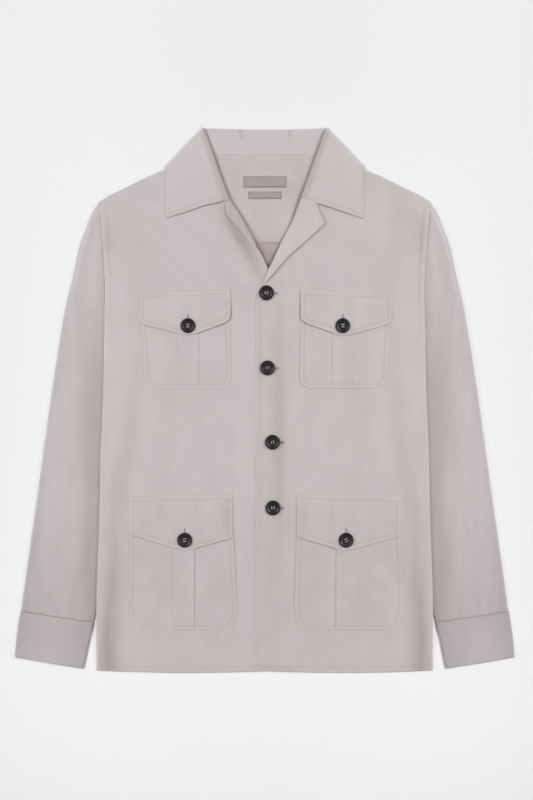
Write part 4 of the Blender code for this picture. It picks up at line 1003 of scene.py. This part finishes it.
def bagPiece(name, row):
    side, top, bottom = row["side"], row["bagTop"], row["bottom"]
    bend, pleatLeft, pleatRight = bottom + row["bagCorner"] + 3.0, row["pleatLeft"], row["pleatRight"]
    ys = spread((bottom, bottom + 0.6, 3), (bottom + 0.6, bend, 20), (bend, top, 44))
    toPleat = spread((0.0, 0.01, 2), (0.01, 0.2, 10), (0.2, 0.9, 12), (0.9, 0.985, 5))[:-1]
    outline = bagLine(row)
    upper, lower, wornAndShaded = [], [], []
    for y in ys:
        left, right = (float(value) for value in bagEdges(row, y))
        x = np.concatenate([
            left + (pleatLeft - left) * toPleat, pleatLeft + np.array([-0.35, -0.1, 0.1, 0.5]),
            np.linspace(pleatLeft + 1.6, pleatRight - 1.6, 13),
            pleatRight + np.array([-0.5, -0.1, 0.1, 0.35]), right - (right - pleatRight) * toPleat[::-1],
        ])
        flatY = np.full(len(x), y)
        base = bagBase(side, x, flatY)
        away = fromOutline(x, flatY, outline)
        away = np.where(y > top - 8.0, np.minimum(x - left, right - x), away)
        inStrip = (x > pleatLeft) & (x < pleatRight)
        toFold = np.minimum(np.abs(x - pleatLeft), np.abs(x - pleatRight))
        strip = np.where(inStrip, pocketFit["pleatRise"] + pocketFit["foldLip"] * np.exp(-toFold / 3.0), 0.0)
        strip = strip - np.where(inStrip, 0.0, 0.25 * np.exp(-toFold / 2.5))
        strip = strip * (0.1 + 0.9 * ramp(0.0, 12.0, y - bottom))
        loft = pocketFit["bagRise"] * ramp(6.0, 30.0, away)
        fine = 1.5 * creased(x, flatY, bagCreases[name]) + 0.5 * ripple(x + 31.0, flatY)
        fine = fine * ramp(5.0, 16.0, away)
        face = base + pocketFit["wall"] + strip + loft + fine + sewn(away, pocketFit["bagStitch"])
        thin = base + 0.15  # the bag's top is pressed flat under its flap
        face = thin + (np.maximum(face, base + 0.5) - thin) * ramp(-4.0, 22.0, top - y)
        lower.append(np.column_stack([x, flatY, base]))
        upper.append(np.column_stack([x, flatY, face]))
        wornAndShaded.append(seamShadeAndWear(away, pocketFit["bagStitch"]) - creased(-np.abs(x), flatY, bagShadeTints))
    clothMesh("pocket" + name, np.array(upper), np.array(lower), clothFace, wearLightAndShade=np.array(wornAndShaded))


def flapPiece(name, row):
    side, left, right = row["side"], row["left"], row["right"]
    rim = spread((0.0, 0.8, 3), (0.8, 14.0, 14))
    inner = np.linspace(left + 14.0, right - 14.0, 50)
    x = np.unique(np.concatenate([left + rim, right - rim, inner, [row["tipX"]]]))
    toSide = np.minimum(x - left, right - x)
    toInner = ramp(0.35, 1.0, (x - left if side < 0 else right - x) / (right - left))
    topY, bottomY = flapOutline(row, x)
    outline = np.concatenate([[[left, topY[0]]], np.stack([x, bottomY], axis=1), [[right, topY[-1]]]])
    shares = spread((0.0, 0.02, 3), (0.02, 0.16, 10), (0.16, 0.82, 22), (0.82, 0.985, 13), (0.985, 1.0, 3))
    upper, lower, wornAndShaded = [], [], []
    for share in shares:
        y = topY + (bottomY - topY) * share
        base = bagBase(side, x, y)
        fromTop = topY - y
        away = fromOutline(x, y, outline)
        beside = np.maximum(row["pleatLeft"] - x, x - row["pleatRight"])
        strip = pocketFit["pleatRise"] * (1.0 - ramp(2.0, 12.0, beside))
        strip = strip + 0.35 * bell(beside, 3.0)  # ridges where the pleat's folds push up
        cover = ramp(-3.0, 26.0, fromTop)
        free = ramp(14.0, 40.0, fromTop) * (1.0 - ramp(4.0, 22.0, away))
        stand = pocketFit["innerStand"][row["kind"]] * toInner * free
        press = 0.4 * bell(np.hypot(x - row["buttonX"], y - row["buttonY"]), 12.0)
        loft = pocketFit["bagRise"] * ramp(0.0, 14.0, toSide) + 0.25
        drop = 1.0 if row["kind"] == "Chest" else 0.35 + 0.65 * ramp(0.0, 6.0, toSide)
        rest = base + cover * drop * (pocketFit["wall"] + pocketFit["lay"] + loft + strip) + stand - press
        fine = (creased(x, y, flapCreases[name]) + 0.5 * ripple(x - 17.0, y)) * ramp(4.0, 12.0, away)
        fine = fine * ramp(4.0, 12.0, fromTop)
        face = rest + pocketFit["wall"] + fine + sewn(away, pocketFit["flapStitch"])
        face = face + sewn(fromTop, pocketFit["topStitch"])
        lower.append(np.column_stack([x, y, rest]))
        upper.append(np.column_stack([x, y, face]))
        tone = seamShadeAndWear(np.minimum(away, fromTop), pocketFit["flapStitch"])
        wornAndShaded.append(tone - creased(-np.abs(x), y, flapShadeTints))
    clothMesh("flap" + name, np.array(upper), np.array(lower), clothFace, wearLightAndShade=np.array(wornAndShaded))


for name, row in pockets.items():
    bagPiece(name, row)
    flapPiece(name, row)
print("pockets made")

# bare neck labels: left, right, bottom, top
labels = {"labelMain": (-29.7, 30.7, 298.0, 313.5), "labelSize": (-23.0, 23.6, 282.0, 292.0)}


def labelPiece(name, left, right, bottom, top):
    x, y = np.meshgrid(spread((left, left + 1.5, 3), (left + 1.5, right - 1.5, 30), (right - 1.5, right, 3)),
                       spread((bottom, bottom + 1.5, 3), (bottom + 1.5, top - 1.5, 10), (top - 1.5, top, 3)))
    z = backTop(x, y) + jacket["seam"] + 0.1
    away = np.minimum(np.minimum(x - left, right - x), np.minimum(y - bottom, top - y))
    puff = 0.22 * ramp(0.5, 3.0, away) + 0.05 * np.sin(x / 3.1)
    face = z + jacket["labelWall"] - 0.25 + puff
    clothMesh(name, np.stack([x, y, face], axis=-1), np.stack([x, y, z], axis=-1), tape)


for name, sizes in labels.items():
    labelPiece(name, *sizes)

topFinders = {}


def topAt(name, x, y):  # height of a finished piece's upper face
    if name not in topFinders:
        mesh = pieces[name].data
        corners, faces = [v.co for v in mesh.vertices], [p.vertices for p in mesh.polygons]
        topFinders[name] = BVHTree.FromPolygons(corners, faces)
    hit = topFinders[name].ray_cast(Vector((x * mm, y * mm, 0.06)), Vector((0.0, 0.0, -1.0)))[0]
    return None if hit is None else hit.z / mm


def draped(name, path, lift=0.1, step=1.0):  # a plan path laid on a piece
    path = np.array(path, float)
    length = np.append(0.0, np.cumsum(np.hypot(*np.diff(path, axis=0).T)))
    places = np.linspace(0.0, length[-1], max(2, int(length[-1] / step)))
    spots = np.stack([np.interp(places, length, path[:, k]) for k in (0, 1)], axis=1)
    found = [(x, y, topAt(name, x, y)) for x, y in spots]
    return [(x, y, z + lift) for x, y, z in found if z is not None]


def insetLine(line, inset):  # a line moved sideways to its left
    line = np.array(line, float)
    run = np.gradient(line, axis=0)
    run = run / np.maximum(np.linalg.norm(run, axis=1, keepdims=True), 1e-9)
    return line + np.stack([-run[:, 1], run[:, 0]], axis=1) * inset


def addNode(tree, kind, settings, sockets):
    made = tree.nodes.new(kind)
    for name, value in settings.items():
        setattr(made, name, value)
    for name, value in sockets.items():
        if isinstance(value, bpy.types.NodeSocket):
            tree.links.new(value, made.inputs[name])
        else:
            made.inputs[name].default_value = value
    return made


def nodeTree(name, inputs):
    tree = bpy.data.node_groups.new(name, "GeometryNodeTree")
    tree.interface.new_socket("Geometry", in_out="INPUT", socket_type="NodeSocketGeometry")
    for label, kind in inputs:
        tree.interface.new_socket(label, in_out="INPUT", socket_type=kind)
    tree.interface.new_socket("Geometry", in_out="OUTPUT", socket_type="NodeSocketGeometry")
    return tree, tree.nodes.new("NodeGroupInput"), tree.nodes.new("NodeGroupOutput")


def spinNode(tree, angle):  # a turn about the upright axis
    upright = {"Axis": (0.0, 0.0, 1.0), "Angle": angle}
    return addNode(tree, "FunctionNodeAxisAngleToRotation", {}, upright).outputs[0]


def closeTree(tree, result, real, material):
    painted = addNode(tree, "GeometryNodeSetMaterial", {}, {
        "Geometry": real.outputs[0], "Material": material})
    tree.links.new(painted.outputs[0], result.inputs[0])
    return tree


def stitchTree():  # short threads laid end to end along every line
    tree, given, result = nodeTree("stitchRows", [
        ("Pitch", "NodeSocketFloat"), ("Length", "NodeSocketFloat"), ("Width", "NodeSocketFloat"),
        ("Wobble", "NodeSocketFloat"), ("Seed", "NodeSocketInt"), ("Thread", "NodeSocketMaterial")])
    lines = addNode(tree, "GeometryNodeMeshToCurve", {}, {"Mesh": given.outputs["Geometry"]})
    points = addNode(tree, "GeometryNodeCurveToPoints", {"mode": "LENGTH"},
                     {"Curve": lines.outputs[0], "Length": given.outputs["Pitch"]})
    bead = addNode(tree, "GeometryNodeMeshUVSphere", {}, {"Segments": 6, "Rings": 4, "Radius": 0.5})
    size = addNode(tree, "ShaderNodeCombineXYZ", {}, {
        "X": given.outputs["Length"], "Y": given.outputs["Width"], "Z": given.outputs["Width"]})
    aim = addNode(tree, "FunctionNodeAlignRotationToVector", {"axis": "X"},
                  {"Vector": points.outputs["Tangent"]})
    less = addNode(tree, "ShaderNodeMath", {"operation": "MULTIPLY"}, {0: given.outputs["Wobble"], 1: -1.0})
    random = addNode(tree, "FunctionNodeRandomValue", {"data_type": "FLOAT"}, {
        "Min": less.outputs[0], "Max": given.outputs["Wobble"], "Seed": given.outputs["Seed"]})
    turned = addNode(tree, "FunctionNodeRotateRotation", {"rotation_space": "LOCAL"},
                     {"Rotation": aim.outputs[0], "Rotate By": spinNode(tree, random.outputs["Value"])})
    laid = addNode(tree, "GeometryNodeInstanceOnPoints", {}, {
        "Points": points.outputs["Points"], "Instance": bead.outputs["Mesh"],
        "Rotation": turned.outputs[0], "Scale": size.outputs[0]})
    real = addNode(tree, "GeometryNodeRealizeInstances", {}, {"Geometry": laid.outputs[0]})
    smooth = addNode(tree, "GeometryNodeSetShadeSmooth", {}, {"Geometry": real.outputs[0]})
    return closeTree(tree, result, smooth, given.outputs["Thread"])


def buttonTree():  # one made button set on every marked place
    tree, given, result = nodeTree("setButtons", [
        ("Button", "NodeSocketObject"), ("Finish", "NodeSocketMaterial")])
    source = addNode(tree, "GeometryNodeObjectInfo", {}, {"Object": given.outputs["Button"]})
    turn = addNode(tree, "GeometryNodeInputNamedAttribute", {"data_type": "FLOAT"}, {"Name": "turn"})
    laid = addNode(tree, "GeometryNodeInstanceOnPoints", {}, {
        "Points": given.outputs["Geometry"], "Instance": source.outputs["Geometry"],
        "Rotation": spinNode(tree, turn.outputs[0])})
    real = addNode(tree, "GeometryNodeRealizeInstances", {}, {"Geometry": laid.outputs[0]})
    return closeTree(tree, result, real, given.outputs["Finish"])


# runs a tree on lines or points and keeps a plain mesh
def grown(name, points, edges, tree, values, attributes=()):
    mesh = bpy.data.meshes.new(name + "Guide")
    mesh.from_pydata((np.array(points) * mm).tolist(), edges, [])
    for label, data in attributes:
        mesh.attributes.new(label, "FLOAT", "POINT").data.foreach_set("value", np.array(data, np.float32))
    guide = bpy.data.objects.new(name + "Guide", mesh)
    bpy.context.scene.collection.objects.link(guide)
    modifier = guide.modifiers.new("grow", "NODES")
    modifier.node_group = tree
    for item in tree.interface.items_tree:
        if item.in_out == "INPUT" and item.name in values:
            modifier[item.identifier] = values[item.name]
    bpy.context.view_layer.update()
    graph = bpy.context.evaluated_depsgraph_get()
    made = bpy.data.meshes.new_from_object(guide.evaluated_get(graph), depsgraph=graph)
    guide.modifiers.remove(modifier)
    bpy.data.objects.remove(guide, do_unlink=True)
    made.name = name
    piece = bpy.data.objects.new(name, made)
    bpy.context.scene.collection.objects.link(piece)
    pieces[name] = piece
    return piece


# each kind of sewing in metres: pitch, length and width of its threads, wobble, seed, thread
stitching = {
    "topStitching": (0.0031, 0.0026, 0.00042, 0.05, 11, "sewingThread"),
    "labelStitching": (0.0012, 0.0013, 0.0004, 0.12, 5, "holeThread"),
    "buttonThreads": (0.0006, 0.0009, 0.00042, 0.0, 3, "buttonThread"),
    "buttonholeThreads": (0.0007, 0.0011, 0.0004, 0.1, 7, "holeThread"),
    # the slits' row is no sewing but a dark strip of painted shade
    "buttonholeSlits": (0.0010, 0.0016, 0.0007, 0.0, 9, "slitShade"),
}
rowsOfStitches = stitchTree()


def sewnRows(name, lines):
    points, edges = [], []
    for line in lines:
        first = len(points)
        points += line
        edges += [(first + k, first + k + 1) for k in range(len(line) - 1)]
    *sizes, thread = stitching[name]
    values = dict(zip(("Pitch", "Length", "Width", "Wobble", "Seed"), sizes))
    grown(name, points, edges, rowsOfStitches, {**values, "Thread": threads[thread]})


def topStitchLines():
    lines = []
    ys = np.linspace(jacket["hemY"] + 8.0, 138.0, 120)
    lines.append(draped("frontLeft", np.stack([curve(leftEdge, ys) + jacket["edgeStitch"], ys], axis=1)))
    hemTip, share = sideLine[0][1] - jacket["sideTurn"], np.linspace(0.0, 1.0, 60)
    for name, side, table, start in (("frontLeft", 1, leftEdge, -9.0), ("frontRight", -1, rightEdge, 20.0)):
        x = start + (232.0 * side - start) * share
        along = (x - table[0][1]) / (hemTip * side - table[0][1])
        hem = jacket["hemY"] + jacket["hemStitch"] - jacket["hemSag"] * np.sin(np.pi * along) * 0.94
        lines.append(draped(name, np.stack([x, hem], axis=1)))
        ys = np.linspace(110.0, 267.0, 50)
        lines.append(draped(name, np.stack([side * (curve(bodyEdge, ys) - jacket["armStitch"]), ys], axis=1)))
        first = [leafSpot(place, 0.075) * [side, 1.0] for place in np.linspace(0.16, 0.942, 24)]
        second = [leafSpot(0.942, place) * [side, 1.0] for place in np.linspace(0.09, 0.97, 24)]
        lines.append(draped("collarLeaf", first + second))
    rows = sectionsOf(lapels["lapelLeft"]["table"], 64)[0]
    run = rows[:, :2] - rows[:, 2:]
    length = np.linalg.norm(run, axis=1, keepdims=True)
    inset = rows[:, 2:] + run / length * np.minimum(jacket["lapelStitch"], 0.45 * length)
    lines.append(draped("lapelLeft", inset[(rows[:, 3] > 172.0) & (rows[:, 3] < 273.0)]))
    lines.append(draped("lapelRight", [
        (-49.0, 273.0), (-50.0, 264.0), (-48.0, 259.0), (-42.4, 251.6), (-30.6, 237.2)]))
    edge = pocketFit["flapStitch"]
    for name, row in pockets.items():
        lines.append(draped("pocket" + name, insetLine(bagLine(row), pocketFit["bagStitch"])[2:-2]))
        x = np.linspace(row["left"] + edge, row["right"] - edge, 40)
        topY, bottomY = flapOutline(row, x)
        low = bottomY + edge * np.sqrt(1.0 + np.minimum(np.gradient(bottomY, x), 1.2) ** 2)
        sides = [[(x[k], topY[k] - 8.0), (x[k], low[k])] for k in (0, -1)]
        lines.append(draped("flap" + name, sides[0] + list(zip(x, low)) + sides[1][::-1]))
        lines.append(draped("flap" + name, np.stack([x, topY - pocketFit["topStitch"]], axis=1)))
    first, last = np.array(cuffRows[0]), np.array(cuffRows[-1])
    row = first + (last - first) * jacket["cuffStitch"] / jacket["cuffLong"]
    for name, side in (("cuffLeft", 1), ("cuffRight", -1)):
        ends = [(side * (row[2] + 3.0), row[3] + 0.4), (side * (row[0] - 3.0), row[1] - 0.4)]
        lines.append(draped(name, ends))
    return lines


def labelStitchLines():  # small zigzags over the labels' edges
    lines = []
    for name, (left, right, bottom, top) in labels.items():
        for y in (bottom + 0.9, top - 0.9):
            x = np.arange(left + 0.6, right - 0.5, 0.75)
            lines.append(draped(name, np.stack([x, y + 0.7 * (-1.0) ** np.arange(len(x))], axis=1), 0.1, 0.2))
        for x in (left + 0.9, right - 0.9):
            y = np.arange(bottom + 0.6, top - 0.5, 0.75)
            lines.append(draped(name, np.stack([x + 0.7 * (-1.0) ** np.arange(len(y)), y], axis=1), 0.1, 0.2))
    return lines


sewnRows("topStitching", topStitchLines())
sewnRows("labelStitching", labelStitchLines())

button = {
    "radius": 10.5, "thick": 3.2, "shank": 0.1, "holeRing": 2.35, "holeRadius": 0.95, "segments": 56,
    "front": [(2.5, 150.0), (4.0, 45.0), (11.0, -59.0), (11.6, -151.0)],
}
holeReach = button["holeRing"] * 0.707  # of each hole, along x and y
# profile of the button's face: share of the radius, share of the thickness
buttonFace = [
    (0.0, 0.56), (0.10, 0.56), (0.45, 0.60), (0.60, 0.66), (0.70, 0.82), (0.78, 0.97), (0.86, 1.0),
    (0.93, 0.93), (0.985, 0.72), (1.0, 0.48), (0.96, 0.22), (0.82, 0.04), (0.68, 0.0),
]


def buttonMaster():
    rows = np.array(buttonFace)
    share = np.concatenate([np.linspace(0.0, 2.0, 30), np.linspace(2.0, len(rows) - 1.0, 34)[1:]])
    radius = np.interp(share, np.arange(len(rows)), rows[:, 0]) * button["radius"]
    height = np.interp(share, np.arange(len(rows)), rows[:, 1]) * button["thick"]
    angle = np.arange(button["segments"]) * 2 * np.pi / button["segments"]
    points, faces = [(0.0, 0.0, height[0])], []
    for r, h in zip(radius[1:], height[1:]):
        for a in angle:
            x, y = r * np.cos(a), r * np.sin(a)
            hole = min(np.hypot(x - sx * holeReach, y - sy * holeReach)
                       for sx in (-1, 1) for sy in (-1, 1))
            sunk = 1.5 * (1.0 - float(ramp(button["holeRadius"] - 0.18, button["holeRadius"] + 0.18, hole)))
            points.append((x, y, h - sunk * (r < 6.0)))
    count, rings = button["segments"], len(radius) - 1
    for k in range(count):
        after = (k + 1) % count
        faces.append([0, 1 + k, 1 + after])
        for ring in range(rings - 1):
            a = 1 + ring * count
            faces.append([a + k, a + count + k, a + count + after, a + after])
    faces.append([1 + (rings - 1) * count + k for k in range(count)][::-1])
    mesh = bpy.data.meshes.new("buttonMaster")
    mesh.from_pydata((np.array(points) * mm).tolist(), [], faces)
    mesh.polygons.foreach_set("use_smooth", np.ones(len(faces), bool))
    made = bpy.data.objects.new("buttonMaster", mesh)
    bpy.context.scene.collection.objects.link(made)
    return made


def buttonPlaces():  # x, y, z and turn of every button
    spots = [("frontLeft", x, y, 1.45 + 0.08 * k) for k, (x, y) in enumerate(button["front"], 1)]
    for k, (name, row) in enumerate(pockets.items(), 1):
        spots.append(("flap" + name, row["buttonX"], row["buttonY"], 0.2 * k - 0.4))
    return [(x, y, topAt(name, x, y) + button["shank"], turn) for name, x, y, turn in spots]


places = buttonPlaces()
master = buttonMaster()
grown("jacketButtons", [place[:3] for place in places], [], buttonTree(),
      {"Button": master, "Finish": horn}, [("turn", [place[3] for place in places])])
bpy.data.objects.remove(master, do_unlink=True)


def buttonThreadLines():  # three strands over each pair of holes
    lines = []
    reach, top = holeReach, button["thick"] * 0.58
    for x, y, z, turn in places:
        c, s = np.cos(turn), np.sin(turn)
        for row in (-reach, reach):
            for strand in (-0.42, 0.0, 0.42):
                across = np.linspace(-reach - 0.25, reach + 0.25, 9)
                up = top + 0.45 - 1.1 * (np.abs(across) / (reach + 0.25)) ** 4
                side = row + strand * (1.0 - 0.2 * np.abs(across) / reach)
                strip = zip(across, side, up)
                lines.append([(x + c * a - s * b, y + s * a + c * b, z + h) for a, b, h in strip])
    return lines


sewnRows("buttonThreads", buttonThreadLines())


def buttonholes():  # worked slits: across the front edge, upright on the flaps
    whip, slit = [], []
    spots = [("frontLeft", x, y - 0.6, 1.0, 0.0, -7.0, 15.8) for x, y in button["front"]]
    for name, row in pockets.items():
        spots.append(("flap" + name, row["buttonX"], row["buttonY"], 0.0, 1.0, -7.0, 16.4))
    for name, x, y, alongX, alongY, start, end in spots:
        run, across = np.array([alongX, alongY]), np.array([-alongY, alongX])
        for side in (-1.0, 1.0):
            t = np.arange(start, end, 0.5)
            zig = side * (0.75 + 0.45 * (-1.0) ** np.arange(len(t)))
            whip.append(draped(name, [(x, y) + run * a + across * b for a, b in zip(t, zig)], 0.12, 0.3))
        bar = [(x, y) + run * end + across * b for b in (-1.2, 1.2, -1.0, 1.0)]
        whip.append(draped(name, bar, 0.2, 0.3))
        # a dark strip down each slit paints the shade in its opening
        slit.append(draped(name, [(x, y) + run * a for a in (start, end)], 0.05, 0.8))
    return whip, slit


whip, slit = buttonholes()
sewnRows("buttonholeThreads", whip)
sewnRows("buttonholeSlits", slit)
print("stitching, buttons and buttonholes made")

# piece: its solids, slot, flat width and length in metres, area in square metres, what it lies on
cutSizes = {
    "backPanel": (["back"], "cloth", 0.470, 0.600, 0.270, ["sleeve_left", "sleeve_right"]),
    "backYoke": (["back_yoke"], "inside", 0.460, 0.128, 0.047, ["collar"]),
    "frontLeft": (["front_left"], "cloth", 0.262, 0.728, 0.165, ["back"]),
    "frontRight": (["front_right"], "cloth", 0.268, 0.728, 0.172, ["back"]),
    "lapelLeft": (["lapel_left"], "inside", 0.052, 0.122, 0.0036, ["front_left"]),
    "lapelRight": (["lapel_right"], "inside", 0.024, 0.076, 0.0011, ["front_right"]),
    "sleeveLeft": (["sleeve_left"], "cloth", 0.390, 0.590, 0.130, ["floor"]),
    "sleeveRight": (["sleeve_right"], "cloth", 0.390, 0.590, 0.130, ["floor"]),
    "cuffLeft": (["cuff_left"], "cloth", 0.205, 0.068, 0.0130, ["floor"]),
    "cuffRight": (["cuff_right"], "cloth", 0.205, 0.068, 0.0130, ["floor"]),
    "collarLeaf": (["collar"], "cloth", 0.420, 0.130, 0.037, ["front_left", "front_right", "back_yoke"]),
    "labelMain": (["label_main"], "label", 0.0604, 0.0155, None, ["back_yoke"]),
    "labelSize": (["label_size"], "label", 0.0466, 0.0100, None, ["back_yoke"]),
}
for name, row in pockets.items():
    low = name.replace("Chest", "chest_").replace("Hip", "hip_").lower()
    front = "front_left" if row["side"] > 0 else "front_right"
    wide, tall = (row["bagRight"] - row["bagLeft"]) * mm, (row["bagTop"] - row["bottom"]) * mm
    cutSizes["pocket" + name] = (["pocket_" + low], "cloth", wide + 0.004, tall, None, [front])
    wide, tall = (row["right"] - row["left"]) * mm, (max(row["topLeft"], row["topRight"]) - row["tipY"]) * mm
    cutSizes["flap" + name] = (["flap_" + low], "cloth", wide, tall, wide * tall * 0.84, ["pocket_" + low])

for name, (nodes, slotName, width, length, area, restsOn) in cutSizes.items():
    piece = pieces[name]
    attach(piece, "root")
    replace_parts(piece, *nodes)
buttonNodes = [f"button_front_{k}" for k in (1, 2, 3, 4)]
buttonNodes += [f"button_{place}_{side}" for place in ("chest", "hip") for side in ("left", "right")]
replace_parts(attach(pieces["jacketButtons"], "root"), *buttonNodes)
for name in stitching:
    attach(pieces[name], "root")
    "label" if name == "labelStitching" else "cloth"

studio = {
    "floor": 0.893, "floorHalf": 9.0,
    "world": 0.34, "worldTint": (1.0, 0.83, 0.72), "keyTint": (0.865, 0.946, 1.0),
    # strip lights: x, y, height, aim x, aim y, watts, with their width, length and beam angle below
    "lights": [(-1.2, 0.55, 1.1, -0.36, 0.12, 3.56), (1.2, 0.55, 1.1, 0.36, 0.12, 3.56)],
    "stripWidth": 0.6, "stripLength": 1.9, "beam": 36.0,
    # lights straight down on the floor further out: x, y, width, length
    "outer": [(-4.65, 0.0, 8.0, 16.0), (4.65, 0.0, 8.0, 16.0), (0.0, 4.7, 1.3, 6.6), (0.0, -4.45, 1.3, 7.1)],
    "outerHeight": 3.0, "outerBeam": 10.0, "outerWatts": 2.0,
    "camera": (0.0025, 0.0, 2.806), "lens": 90.0,
}


def floorMaterial():
    net = Net("paleFloor")
    place = net.place()
    spot = net.node("ShaderNodeSeparateXYZ", {}, {0: place})
    x, y = spot["X"], spot["Y"]
    even = (1.0 - (x * x).most(0.3) * 0.2 - y.most(1.0) * 0.06).most(1.07)  # evens the lights' fall-off
    pale = studio["floor"] * even
    colour = net.node("ShaderNodeCombineColor", {}, {0: pale, 1: pale, 2: pale})[0]
    net.set(Base_Color=colour, Roughness=0.9 + net.noise(place, 3.0, 2.0) * 0.06, Specular_IOR_Level=0.1)
    return net.material


def areaLight(name, place, wide, long, watts, beam):
    lamp = bpy.data.lights.new(name, "AREA")
    lamp.shape, lamp.size, lamp.size_y = "RECTANGLE", wide, long
    lamp.energy, lamp.color, lamp.spread = watts, studio["keyTint"], np.radians(beam)
    made = bpy.data.objects.new(name, lamp)
    made.location = place
    bpy.context.scene.collection.objects.link(made)
    return made


def studioScene():
    scene = bpy.context.scene
    half = studio["floorHalf"]
    corners = [(-half, -half, 0.0), (half, -half, 0.0), (half, half, 0.0), (-half, half, 0.0)]
    mesh = bpy.data.meshes.new("floor")
    mesh.from_pydata(corners, [], [(0, 1, 2, 3)])
    mesh.materials.append(floorMaterial())
    floor = bpy.data.objects.new("floor", mesh)
    scene.collection.objects.link(floor)
    world = bpy.data.worlds.new("studioWorld")
    world.use_nodes = True
    sky = world.node_tree.nodes["Background"]
    sky.inputs["Color"].default_value = (*studio["worldTint"], 1.0)
    sky.inputs["Strength"].default_value = studio["world"]
    scene.world = world
    strip = studio["stripWidth"], studio["stripLength"]
    for k, (x, y, z, aimX, aimY, watts) in enumerate(studio["lights"]):
        made = areaLight(f"stripLight{k}", (x, y, z), *strip, watts, studio["beam"])
        back = (made.location - Vector((aimX, aimY, 0.0))).normalized()
        across = Vector((0.0, 1.0, 0.0)).cross(back).normalized()  # the strip runs along the jacket
        made.rotation_euler = Matrix((across, back.cross(across), back)).transposed().to_euler()
    for k, (x, y, wide, long) in enumerate(studio["outer"]):
        place, watts = (x, y, studio["outerHeight"]), studio["outerWatts"] * wide * long
        areaLight(f"outerLight{k}", place, wide, long, watts, studio["outerBeam"])
    lens = bpy.data.cameras.new("photoCamera")
    lens.lens, lens.sensor_width, lens.clip_end = studio["lens"], 36.0, 20.0
    camera = bpy.data.objects.new("photoCamera", lens)
    camera.location = studio["camera"]
    scene.collection.objects.link(camera)
    scene.camera = camera
    scene.view_settings.view_transform = "Standard"


studioScene()
triangles = sum(len(p.data.polygons) * 2 for p in pieces.values())
print("about", triangles, "triangles in", len(pieces), "pieces")
